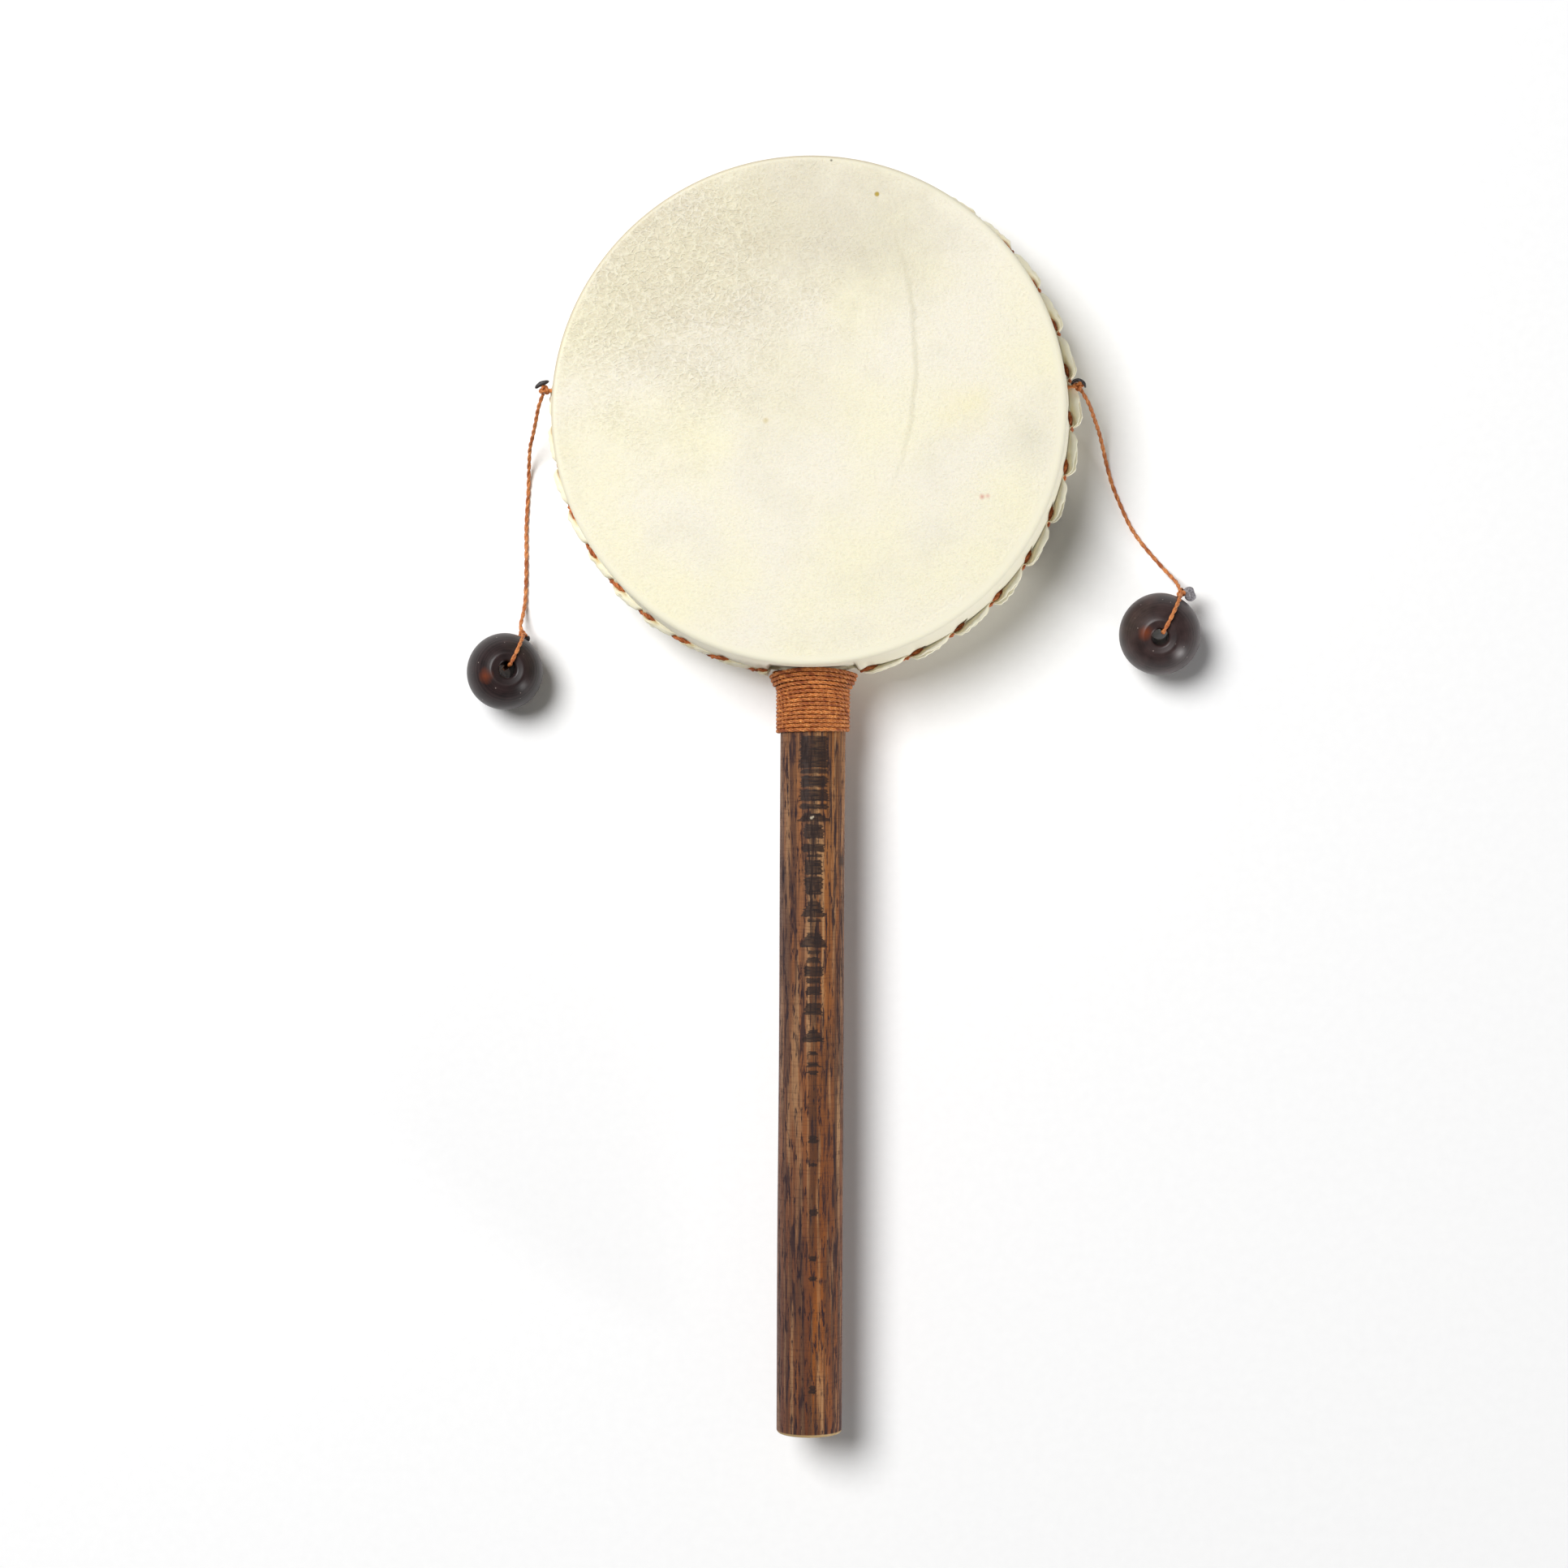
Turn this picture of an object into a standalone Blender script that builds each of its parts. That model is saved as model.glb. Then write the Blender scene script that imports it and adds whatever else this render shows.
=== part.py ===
"""Pellet drum lying on its back head, with the handle towards -Y.

The drum is a wooden hoop between two rawhide skins. The skins meet in a scalloped
frill at half the drum's depth, laced together by one whip-stitched cord. A round
stick bound with cord is the handle. Two wooden pellets hang from cords at the rim.
Lengths are in metres. The origin is the centre of the back head.
"""

import math

import bmesh
import bpy
from mathutils import Matrix, Vector

# Drum
HEAD_DIAMETER = 0.150
DRUM_DEPTH = 0.040
SKIN_THICKNESS = 0.0008
WALL_WAIST = 0.0005
EDGE_ROLL = 0.0026
HOOP_THICKNESS = 0.004
HOOP_EDGE = 0.0012
GAP = 0.0003

# Frill and its lacing
STITCH_COUNT = 34
FIRST_STITCH_ANGLE = math.radians(-76.9)
LAST_STITCH_ANGLE = math.radians(258.9)
PITCH_EASING = 0.086
STITCH_LEAN = 0.22
NOTCH_DEPTH_LEFT = 0.0026
NOTCH_DEPTH_RIGHT = 0.0031
LOBE_DEPTH_LEFT = 0.0034
LOBE_DEPTH_RIGHT = 0.0055
WIDE_SIDE_ANGLE = math.radians(-20.0)
LOBE_ROUNDNESS = 0.8
LACING_DIAMETER = 0.0011
LACING_SLACK = 0.00025
LACING_SHIFT = 0.015
LACE_HOLE_DIAMETER = 0.0019

# Handle and whipping
HANDLE_DIAMETER = 0.0192
HANDLE_REACH = 0.300
HANDLE_INSIDE = 0.004
HANDLE_CHAMFER = 0.0010
HANDLE_LEAN = math.radians(-0.334)
HANDLE_OFFSET = 0.0010
WHIPPING_LENGTH = 0.0182
WHIPPING_TURNS = 16
WHIPPING_CORD = 0.0011
WHIPPING_GROOVE = 0.0004
FLARE_TURNS = 4
FLARE_DEPTH = 0.0021

# Pellets, their cords and knots
CORD_DIAMETER = 0.0012
PELLET_BORE = 0.0050
PELLET_BORE_CHAMFER = 0.0003
PELLET_FLAT_DIAMETER = 0.0100
ANCHOR_HEIGHT = 0.0040
ANCHOR_LENGTH = 0.0075
ANCHOR_HOLE_DIAMETER = 0.0020

LEFT = {
    "pellet_diameter": 0.0229,
    "pellet_place": (-0.0924, -0.0747),
    "pellet_lean": math.radians(13.0),
    "pellet_lean_towards": math.radians(8.0),
    "bead_knot_towards": math.radians(63.0),
    "bead_knot_drop": math.radians(-13.0),
    "bead_knot_size": (0.0026, 0.0034, 0.0026),
    "melt_size": (0.0018, 0.0018, 0.0014),
    "melt_shift": (0.0013, -0.0012, 0.0),
    "rim_knot_angle": math.radians(174.1),
    "rim_knot_reach": 0.0048,
    "rim_knot_size": (0.0036, 0.0030, 0.0026),
    "route": (
        (-0.0812, 0.0038, 0.0195),
        (-0.0829, -0.0008, 0.0145),
        (-0.0843, -0.0044, 0.0105),
        (-0.0855, -0.0072, 0.0070),
        (-0.0863, -0.0117, 0.0032),
        (-0.0867, -0.0164, 0.0012),
        (-0.0869, -0.0205, 0.00065),
        (-0.0872, -0.0250, 0.00065),
        (-0.0875, -0.0310, 0.00065),
        (-0.0875, -0.0370, 0.00065),
        (-0.0875, -0.0433, 0.00065),
        (-0.0876, -0.0490, 0.00075),
        (-0.0878, -0.0535, 0.00120),
        (-0.0882, -0.0575, 0.0030),
        (-0.0885, -0.0607, 0.0056),
    ),
}

RIGHT = {
    "pellet_diameter": 0.0242,
    "pellet_place": (0.1029, -0.0640),
    "pellet_lean": math.radians(8.0),
    "pellet_lean_towards": math.radians(-104.0),
    "bead_knot_towards": math.radians(62.4),
    "bead_knot_drop": math.radians(-12.0),
    "bead_knot_size": (0.0030, 0.0028, 0.0028),
    "melt_size": (0.0034, 0.0040, 0.0022),
    "melt_shift": (0.0026, 0.0003, -0.0002),
    "rim_knot_angle": math.radians(6.0),
    "rim_knot_reach": 0.0045,
    "rim_knot_size": (0.0038, 0.0030, 0.0026),
    "route": (
        (0.0816, 0.0038, 0.0193),
        (0.0837, -0.0007, 0.0135),
        (0.0850, -0.0038, 0.0095),
        (0.0861, -0.0071, 0.0060),
        (0.0873, -0.0117, 0.0026),
        (0.0884, -0.0157, 0.0010),
        (0.0896, -0.0195, 0.00065),
        (0.0917, -0.0247, 0.00065),
        (0.0946, -0.0310, 0.00065),
        (0.0976, -0.0356, 0.00065),
        (0.1010, -0.0398, 0.00080),
        (0.1040, -0.0433, 0.0014),
        (0.1066, -0.0463, 0.0034),
        (0.1084, -0.0487, 0.0061),
    ),
}

# Fineness of the faceted surfaces
RING_STEPS = 50
HOOP_STEPS = 32
STICK_STEPS = 18
PELLET_STEPS = 16
PELLET_BANDS = 8
LOBE_POINTS = 4

# Sizes that follow
HEAD_RADIUS = HEAD_DIAMETER / 2
WALL_RADIUS = HEAD_RADIUS - WALL_WAIST
SEAM_HEIGHT = DRUM_DEPTH / 2
FLANGE_LOW = GAP / 2
FLANGE_TOP = FLANGE_LOW + SKIN_THICKNESS
FRILL_BLANK_RADIUS = WALL_RADIUS + LOBE_DEPTH_RIGHT + SKIN_THICKNESS
LACE_HOLE_REACH = WALL_RADIUS + GAP + LACE_HOLE_DIAMETER / 2
LACING_RISE = FLANGE_TOP + GAP + LACING_DIAMETER / 2
HANDLE_RADIUS = HANDLE_DIAMETER / 2
WHIPPING_START = HEAD_RADIUS + GAP
WHIPPING_RADIUS = HANDLE_RADIUS + GAP + WHIPPING_CORD
FLARE_RADIUS = WHIPPING_RADIUS + FLARE_DEPTH
CORD_RADIUS = CORD_DIAMETER / 2


def clear_scene():
    """Remove every object that the scene holds."""
    for item in list(bpy.data.objects):
        bpy.data.objects.remove(item, do_unlink=True)


def new_collection(name):
    """Return a new collection linked to the scene."""
    group = bpy.data.collections.new(name)
    bpy.context.scene.collection.children.link(group)
    return group


def finish(name, colour, roughness):
    """Return a Principled material with a linear colour and a roughness."""
    material = bpy.data.materials.new(name)
    material.use_nodes = True
    shader = material.node_tree.nodes["Principled BSDF"]
    shader.inputs["Base Color"].default_value = (*colour, 1.0)
    shader.inputs["Roughness"].default_value = roughness
    shader.inputs["Metallic"].default_value = 0.0
    return material


def add_object(name, data, group, material=None):
    """Link new object data into a collection."""
    item = bpy.data.objects.new(name, data)
    group.objects.link(item)
    if material is not None:
        data.materials.append(material)
    return item


def hide_cutter(item):
    """Show a cutter as wires and keep it out of renders."""
    item.display_type = "WIRE"
    item.hide_render = True
    return item


def turned(name, profile, steps, group, material=None, closed=False):
    """Turn a profile of (radius, height) points round local Z."""
    data = bpy.data.meshes.new(name)
    corners = [(radius, 0.0, height) for radius, height in profile]
    edges = [(i, i + 1) for i in range(len(corners) - 1)]
    if closed:
        edges.append((len(corners) - 1, 0))
    data.from_pydata(corners, edges, [])
    item = add_object(name, data, group, material)
    screw = item.modifiers.new("turn", "SCREW")
    screw.axis = "Z"
    screw.angle = math.tau
    screw.steps = steps
    screw.render_steps = steps
    screw.use_merge_vertices = True
    screw.merge_threshold = 0.00001
    screw.use_smooth_shade = True
    return item


def tube(name, points, diameter, sides_level, group, material=None):
    """Run a round cord along a polyline, with flat ends."""
    data = bpy.data.curves.new(name, "CURVE")
    data.dimensions = "3D"
    data.bevel_depth = diameter / 2
    data.bevel_resolution = sides_level
    data.use_fill_caps = True
    spline = data.splines.new("POLY")
    spline.points.add(len(points) - 1)
    for knot, place in zip(spline.points, points):
        knot.co = (*place, 1.0)
    return add_object(name, data, group, material)


def as_mesh(curve_object, group):
    """Swap a curve object for a mesh object with welded ends."""
    depsgraph = bpy.context.evaluated_depsgraph_get()
    data = bpy.data.meshes.new_from_object(curve_object.evaluated_get(depsgraph))
    shape = bmesh.new()
    shape.from_mesh(data)
    bmesh.ops.remove_doubles(shape, verts=shape.verts, dist=0.00001)
    shape.to_mesh(data)
    shape.free()
    name = curve_object.name
    place = curve_object.matrix_world.copy()
    bpy.data.objects.remove(curve_object, do_unlink=True)
    item = bpy.data.objects.new(name, data)
    item.name = name
    item.matrix_world = place
    group.objects.link(item)
    return item


def prism_cutter(name, radius, low, high, sides, group):
    """Return a straight round cutter along local Z."""
    data = bpy.data.meshes.new(name)
    shape = bmesh.new()
    bmesh.ops.create_cone(
        shape,
        cap_ends=True,
        segments=sides,
        radius1=radius,
        radius2=radius,
        depth=high - low,
        matrix=Matrix.Translation((0.0, 0.0, (low + high) / 2)),
    )
    shape.to_mesh(data)
    shape.free()
    return hide_cutter(add_object(name, data, group))


def ellipsoid(name, knot, group, material=None):
    """Return a ball drawn out to a knot's size and turned round Z."""
    data = bpy.data.meshes.new(name)
    shape = bmesh.new()
    stretch = Matrix.Diagonal((*knot["size"], 1.0))
    bmesh.ops.create_uvsphere(shape, u_segments=10, v_segments=6, radius=0.5, matrix=stretch)
    shape.to_mesh(data)
    shape.free()
    data.shade_smooth()
    item = add_object(name, data, group, material)
    item.location = knot["centre"]
    item.rotation_euler = (0.0, 0.0, knot["turn"])
    return item


def cut(item, cutter, operation="DIFFERENCE"):
    """Cut, join or trim an object by another one."""
    step = item.modifiers.new(operation.lower() + "_" + cutter.name, "BOOLEAN")
    step.operation = operation
    step.solver = "EXACT"
    step.object = cutter
    return step


def clear_of_knot(point, knot):
    """Tell whether a point keeps the gap to a knot's surface."""
    across = Matrix.Rotation(-knot["turn"], 3, "Z") @ (Vector(point) - knot["centre"])
    return sum((c / (s / 2 + GAP)) ** 2 for c, s in zip(across, knot["size"])) > 1.0


def smooth_path(route, spacing, knots=()):
    """Return even points on a smooth curve through a route, cut off at its knots."""
    places = [Vector(place) for place in route]
    padded = [2 * places[0] - places[1], *places, 2 * places[-1] - places[-2]]
    dense = []
    for i in range(1, len(padded) - 2):
        before, start, end, after = padded[i - 1:i + 3]
        for step in range(40):
            t = step / 40
            dense.append(
                0.5 * (
                    2 * start
                    + (end - before) * t
                    + (2 * before - 5 * start + 4 * end - after) * t ** 2
                    + (3 * start - before - 3 * end + after) * t ** 3
                )
            )
    dense.append(places[-1])
    dense = [point for point in dense if all(clear_of_knot(point, knot) for knot in knots)]
    run = [0.0]
    for here, there in zip(dense, dense[1:]):
        run.append(run[-1] + (there - here).length)
    count = max(2, round(run[-1] / spacing))
    points = []
    spot = 0
    for k in range(count + 1):
        target = run[-1] * k / count
        while spot < len(run) - 2 and run[spot + 1] < target:
            spot += 1
        share = (target - run[spot]) / (run[spot + 1] - run[spot])
        points.append(dense[spot].lerp(dense[spot + 1], share))
    return points


def stitch_angle(index):
    """Return the angle of a stitch's middle on the front face."""
    share = index / (STITCH_COUNT - 1)
    eased = share - PITCH_EASING * (share ** 2 - share)
    return FIRST_STITCH_ANGLE + (LAST_STITCH_ANGLE - FIRST_STITCH_ANGLE) * eased


def stitch_lean(index):
    """Return the angle from a stitch's middle to its notch or hole."""
    pitch = (stitch_angle(index + 1) - stitch_angle(index - 1)) / 2
    return STITCH_LEAN * pitch


def notch_angle(index):
    """Return the angle where a stitch passes over the frill's edge."""
    return stitch_angle(index) - stitch_lean(index)


def hole_angle(index):
    """Return the angle where a stitch passes through the frill."""
    return stitch_angle(index) + stitch_lean(index)


def side_blend(angle, on_left, on_right):
    """Blend a frill size from the narrow left to the wide right."""
    share = 0.5 + 0.5 * math.cos(angle - WIDE_SIDE_ANGLE)
    return on_left + (on_right - on_left) * share


def notch_radius(angle):
    """Return the frill's radius in a notch."""
    return WALL_RADIUS + side_blend(angle, NOTCH_DEPTH_LEFT, NOTCH_DEPTH_RIGHT)


def lobe_radius(angle):
    """Return the frill's radius at the tip of a lobe."""
    return WALL_RADIUS + side_blend(angle, LOBE_DEPTH_LEFT, LOBE_DEPTH_RIGHT)


def polar(radius, angle, height):
    """Return the point at a radius and an angle round the drum's axis."""
    return (radius * math.cos(angle), radius * math.sin(angle), height)


def skin_profile():
    """Return the front skin's profile, with heights above the seam."""
    roll_centre = (HEAD_RADIUS - EDGE_ROLL, SEAM_HEIGHT - EDGE_ROLL)
    inner_roll = EDGE_ROLL - SKIN_THICKNESS

    def roll(radius, degrees):
        """Return a point on the rolled edge."""
        turn = math.radians(degrees)
        across = roll_centre[0] + radius * math.cos(turn)
        up = roll_centre[1] + radius * math.sin(turn)
        return (across, up)

    profile = [(0.0, SEAM_HEIGHT)]
    profile += [roll(EDGE_ROLL, degrees) for degrees in (90, 45, 0)]
    profile += [
        (WALL_RADIUS, FLANGE_TOP),
        (FRILL_BLANK_RADIUS, FLANGE_TOP),
        (FRILL_BLANK_RADIUS, FLANGE_LOW),
        (WALL_RADIUS - SKIN_THICKNESS, FLANGE_LOW),
    ]
    profile += [roll(inner_roll, degrees) for degrees in (0, 90)]
    profile.append((0.0, SEAM_HEIGHT - SKIN_THICKNESS))
    return profile


def frill_outline():
    """Return the frill's scalloped outline as points in the seam's plane."""
    points = []
    for index in range(STITCH_COUNT - 1):
        start = notch_angle(index)
        width = notch_angle(index + 1) - start
        for step in range(LOBE_POINTS):
            share = step / LOBE_POINTS
            angle = start + width * share
            swell = math.sin(math.pi * share) ** LOBE_ROUNDNESS
            low = notch_radius(angle)
            points.append(polar(low + (lobe_radius(angle) - low) * swell, angle, 0.0))
    last = notch_angle(STITCH_COUNT - 1)
    points.append(polar(notch_radius(last), last, 0.0))
    return points


def frill_trimmer(group):
    """Return the upright block whose outline trims both frills."""
    data = bpy.data.curves.new("frill_trimmer", "CURVE")
    data.dimensions = "2D"
    data.fill_mode = "BOTH"
    data.extrude = DRUM_DEPTH
    spline = data.splines.new("POLY")
    outline = frill_outline()
    spline.points.add(len(outline) - 1)
    for knot, place in zip(spline.points, outline):
        knot.co = (*place, 1.0)
    spline.use_cyclic_u = True
    block = add_object("frill_trimmer", data, group)
    block.location = (0.0, 0.0, SEAM_HEIGHT)
    bpy.context.view_layer.update()
    return hide_cutter(as_mesh(block, group))


def lace_hole_cutter(group):
    """Return one cutter that holds every lacing hole."""
    data = bpy.data.meshes.new("lace_hole_cutter")
    shape = bmesh.new()
    reach = 4 * SKIN_THICKNESS
    for index in range(STITCH_COUNT - 1):
        place = polar(LACE_HOLE_REACH, hole_angle(index), SEAM_HEIGHT)
        turn = Matrix.Rotation(hole_angle(index), 4, "Z")
        bmesh.ops.create_cone(
            shape,
            cap_ends=True,
            segments=6,
            radius1=LACE_HOLE_DIAMETER / 2,
            radius2=LACE_HOLE_DIAMETER / 2,
            depth=reach,
            matrix=Matrix.Translation(place) @ turn,
        )
    shape.to_mesh(data)
    shape.free()
    return hide_cutter(add_object("lace_hole_cutter", data, group))


def build_skins(parts, cutters, collar_cutter, stick_cutter, anchor_cutters):
    """Build the two laced skins of the drum."""
    rawhide = finish("rawhide", (0.80, 0.75, 0.60), 0.62)
    trimmer = frill_trimmer(cutters)
    holes = lace_hole_cutter(cutters)
    front = skin_profile()
    back = [(radius, -height) for radius, height in reversed(front)]
    for name, profile in (("front_skin", front), ("back_skin", back)):
        skin = turned(name, profile, RING_STEPS, parts, rawhide)
        skin.location = (0.0, 0.0, SEAM_HEIGHT)
        cut(skin, trimmer, "INTERSECT")
        cut(skin, holes)
        cut(skin, collar_cutter)
        cut(skin, stick_cutter)
        if name == "front_skin":
            for cutter in anchor_cutters:
                cut(skin, cutter)


def build_hoop(parts, stick_cutter, anchor_cutters):
    """Build the bent wooden hoop that the skins are stretched over."""
    hoop_wood = finish("hoop_wood", (0.42, 0.27, 0.14), 0.7)
    outer = WALL_RADIUS - SKIN_THICKNESS - GAP
    inner = outer - HOOP_THICKNESS
    top = SEAM_HEIGHT - SKIN_THICKNESS - GAP
    profile = [
        (outer - HOOP_EDGE, top),
        (outer, top - HOOP_EDGE),
        (outer, HOOP_EDGE - top),
        (outer - HOOP_EDGE, -top),
        (inner, -top),
        (inner, top),
    ]
    hoop = turned("hoop", profile, HOOP_STEPS, parts, hoop_wood, closed=True)
    hoop.location = (0.0, 0.0, SEAM_HEIGHT)
    cut(hoop, stick_cutter)
    for cutter in anchor_cutters:
        cut(hoop, cutter)


def lacing_route():
    """Return the corners of the whip stitches, from right to left of the handle."""
    points = []
    for index in range(STITCH_COUNT):
        notch = notch_angle(index)
        hole = hole_angle(index)
        pitch = stitch_angle(index + 1) - stitch_angle(index)
        outer = notch_radius(notch) + GAP + LACING_DIAMETER / 2
        if index > 0:
            points.append((outer, notch, 0.0))
        shift = LACING_SHIFT * pitch
        points.append((outer - LACING_SLACK, notch + shift, LACING_RISE))
        if index == STITCH_COUNT - 1:
            collar = FLARE_RADIUS + 2 * GAP - HANDLE_OFFSET
            end = 1.5 * math.pi - math.asin(collar / WALL_RADIUS)
            share = (end - notch) / (hole - notch)
            points.append((outer + (LACE_HOLE_REACH - outer) * share, end, LACING_RISE))
            break
        following = notch_angle(index + 1)
        below = notch_radius(following) + GAP + LACING_DIAMETER / 2
        points += [
            (LACE_HOLE_REACH + LACING_SLACK, hole - shift, LACING_RISE),
            (LACE_HOLE_REACH, hole, 0.0),
            (LACE_HOLE_REACH + LACING_SLACK, hole + shift, -LACING_RISE),
            (below - LACING_SLACK, following - shift, -LACING_RISE),
        ]
    return [polar(radius, angle, SEAM_HEIGHT + rise) for radius, angle, rise in points]


def build_lacing(parts):
    """Build the one cord that laces the two frills together."""
    waxed_cord = finish("waxed_cord", (0.40, 0.10, 0.03), 0.6)
    tube("seam_lacing", lacing_route(), LACING_DIAMETER, 0, parts, waxed_cord)


def along_handle(item, axis):
    """Lay a turned shape along the handle, with its local Z pointing to the end."""
    item.parent = axis
    item.rotation_euler = (math.radians(90.0), 0.0, 0.0)
    return item


def build_handle(parts, axis):
    """Build the round stick that is the handle."""
    stained_wood = finish("stained_wood", (0.20, 0.08, 0.03), 0.5)
    start = WALL_RADIUS - SKIN_THICKNESS - GAP - HOOP_THICKNESS - HANDLE_INSIDE
    profile = [
        (0.0, HANDLE_REACH),
        (HANDLE_RADIUS - HANDLE_CHAMFER, HANDLE_REACH),
        (HANDLE_RADIUS, HANDLE_REACH - HANDLE_CHAMFER),
        (HANDLE_RADIUS, start),
        (0.0, start),
    ]
    along_handle(turned("handle", profile, STICK_STEPS, parts, stained_wood), axis)


def build_whipping(parts, axis):
    """Build the cord bound round the handle's neck, a ridge for each turn."""
    whipping_cord = finish("whipping_cord", (0.48, 0.16, 0.05), 0.6)
    pitch = WHIPPING_LENGTH / WHIPPING_TURNS
    end = WHIPPING_START + WHIPPING_LENGTH
    inner = HANDLE_RADIUS + GAP

    def flare(turn):
        """Return how far a turn stands out over the skins' gathered edge."""
        return FLARE_DEPTH * max(0.0, 1.0 - turn / FLARE_TURNS) ** 0.5

    profile = [(WHIPPING_RADIUS - WHIPPING_GROOVE, end)]
    for turn in reversed(range(WHIPPING_TURNS)):
        radius = WHIPPING_RADIUS + flare(turn)
        profile.append((radius, WHIPPING_START + (turn + 0.5) * pitch))
        profile.append((radius - WHIPPING_GROOVE, WHIPPING_START + turn * pitch))
    profile += [(inner, WHIPPING_START), (inner, end)]
    sleeve = turned("neck_whipping", profile, STICK_STEPS, parts, whipping_cord, closed=True)
    along_handle(sleeve, axis)


def pellet_lean(side):
    """Return a pellet's lean as a matrix, without its place."""
    towards = side["pellet_lean_towards"]
    hinge = Vector((-math.sin(towards), math.cos(towards), 0.0))
    return Matrix.Rotation(side["pellet_lean"], 4, hinge)


def loop_axes(side):
    """Return the directions of a pellet's bore and of its knot, square to it."""
    up = pellet_lean(side).to_3x3() @ Vector((0.0, 0.0, 1.0))
    towards = side["bead_knot_towards"]
    out = Vector((math.cos(towards), math.sin(towards), 0.0))
    return up, (out - up * out.dot(up)).normalized()


def from_pellet(side, radius, turn):
    """Return a point at a radius and a turn above the pellet's equator."""
    up, out = loop_axes(side)
    return out * (radius * math.cos(turn)) + up * (radius * math.sin(turn))


def pellet_half_height(side):
    """Return the height of a flat end above a pellet's equator."""
    radius = side["pellet_diameter"] / 2
    return math.sqrt(radius ** 2 - (PELLET_FLAT_DIAMETER / 2) ** 2)


def loop_route(side):
    """Return the loop through a pellet's bore, seen from the pellet's centre."""
    clear = GAP + CORD_RADIUS
    around = side["pellet_diameter"] / 2 + clear
    half = pellet_half_height(side)
    up, out = loop_axes(side)
    drop = side["bead_knot_drop"]
    shoulder = math.radians(60.0)
    leave = math.radians(16.0)
    lip = (PELLET_BORE + PELLET_BORE_CHAMFER) / 2
    over = [
        out * (lip - clear * math.cos(turn)) + up * (half + clear * math.sin(turn))
        for turn in (math.radians(85.0), math.radians(45.0), math.radians(5.0))
    ]
    below = [point - 2 * up * point.dot(up) for point in reversed(over)]
    bore = [*over, out * (lip - clear), *below]
    top = []
    under = []
    for k in range(5):
        share = k / 4
        top.append(from_pellet(side, around, drop + leave + (shoulder - drop - leave) * share))
        under.append(from_pellet(side, around, (drop - leave + shoulder) * share - shoulder))
    knot = bead_knot_centre(side)
    return [knot, *top, *bore, *under, knot]


def bead_knot_centre(side):
    """Return the centre of the knot beside a pellet, seen from the pellet's centre."""
    reach = side["pellet_diameter"] / 2 + GAP + side["bead_knot_size"][0] / 2
    return from_pellet(side, reach, side["bead_knot_drop"])


def pellet_centre(side):
    """Return a pellet's centre, with its loop lying on the floor beneath it."""
    lowest = min(point.z for point in loop_route(side))
    return Vector((*side["pellet_place"], CORD_RADIUS + GAP / 3 - lowest))


def bead_knot(side):
    """Return the place and size of the knot beside a pellet."""
    return {
        "centre": pellet_centre(side) + bead_knot_centre(side),
        "size": side["bead_knot_size"],
        "turn": side["bead_knot_towards"],
    }


def rim_knot(side):
    """Return the place and size of the knot at the drum's rim."""
    return {
        "centre": anchor_place(side, WALL_RADIUS + side["rim_knot_reach"]),
        "size": side["rim_knot_size"],
        "turn": side["rim_knot_angle"],
    }


def build_pellet(name, side, parts):
    """Build one bored wooden ball with flat ends."""
    pellet_wood = finish(name + "_wood", (0.035, 0.018, 0.015), 0.35)
    radius = side["pellet_diameter"] / 2
    half = pellet_half_height(side)
    bore = PELLET_BORE / 2
    edge = math.asin(half / radius)
    profile = []
    for k in range(PELLET_BANDS + 1):
        turn = edge - 2 * edge * k / PELLET_BANDS
        profile.append((radius * math.cos(turn), radius * math.sin(turn)))
    profile += [
        (bore + PELLET_BORE_CHAMFER, -half),
        (bore, PELLET_BORE_CHAMFER - half),
        (bore, half - PELLET_BORE_CHAMFER),
        (bore + PELLET_BORE_CHAMFER, half),
    ]
    ball = turned(name + "_pellet", profile, PELLET_STEPS, parts, pellet_wood, closed=True)
    ball.matrix_world = Matrix.Translation(pellet_centre(side)) @ pellet_lean(side)


def build_pellet_cords(name, side, parts, cutters):
    """Build a pellet's cord, its loop and the knot between them."""
    twisted_cord = finish(name + "_twisted_cord", (0.55, 0.20, 0.06), 0.6)
    knot = bead_knot(side)
    start = rim_knot(side)
    route = [start["centre"], *side["route"], knot["centre"]]
    path = smooth_path(route, 2.5 * CORD_DIAMETER, (start, knot))
    tube(name + "_cord", path, CORD_DIAMETER, 2, parts, twisted_cord)
    centre = pellet_centre(side)
    loop = [centre + point for point in loop_route(side)]
    path = smooth_path(loop, 2.0 * CORD_DIAMETER, (knot,))
    tube(name + "_bead_loop", path, CORD_DIAMETER, 1, parts, twisted_cord)
    ball = ellipsoid(name + "_bead_knot", knot, parts, twisted_cord)
    melted_end = {
        "centre": knot["centre"] + Vector(side["melt_shift"]),
        "size": side["melt_size"],
        "turn": 0.0,
    }
    cut(ball, hide_cutter(ellipsoid(name + "_melted_end", melted_end, cutters)), "UNION")


def anchor_place(side, radius):
    """Return a point on the line of a pellet cord's anchor, seen from the drum."""
    return Vector(polar(radius, side["rim_knot_angle"], SEAM_HEIGHT + ANCHOR_HEIGHT))


def build_anchor_cutter(name, side, cutters):
    """Return the cutter for the hole that a pellet's cord is drawn through."""
    cutter = prism_cutter(name + "_anchor_cutter", ANCHOR_HOLE_DIAMETER / 2,
                          -HOOP_THICKNESS * 2, HOOP_THICKNESS, 6, cutters)
    cutter.location = anchor_place(side, WALL_RADIUS)
    cutter.rotation_euler = (0.0, math.radians(90.0), side["rim_knot_angle"])
    return cutter


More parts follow.
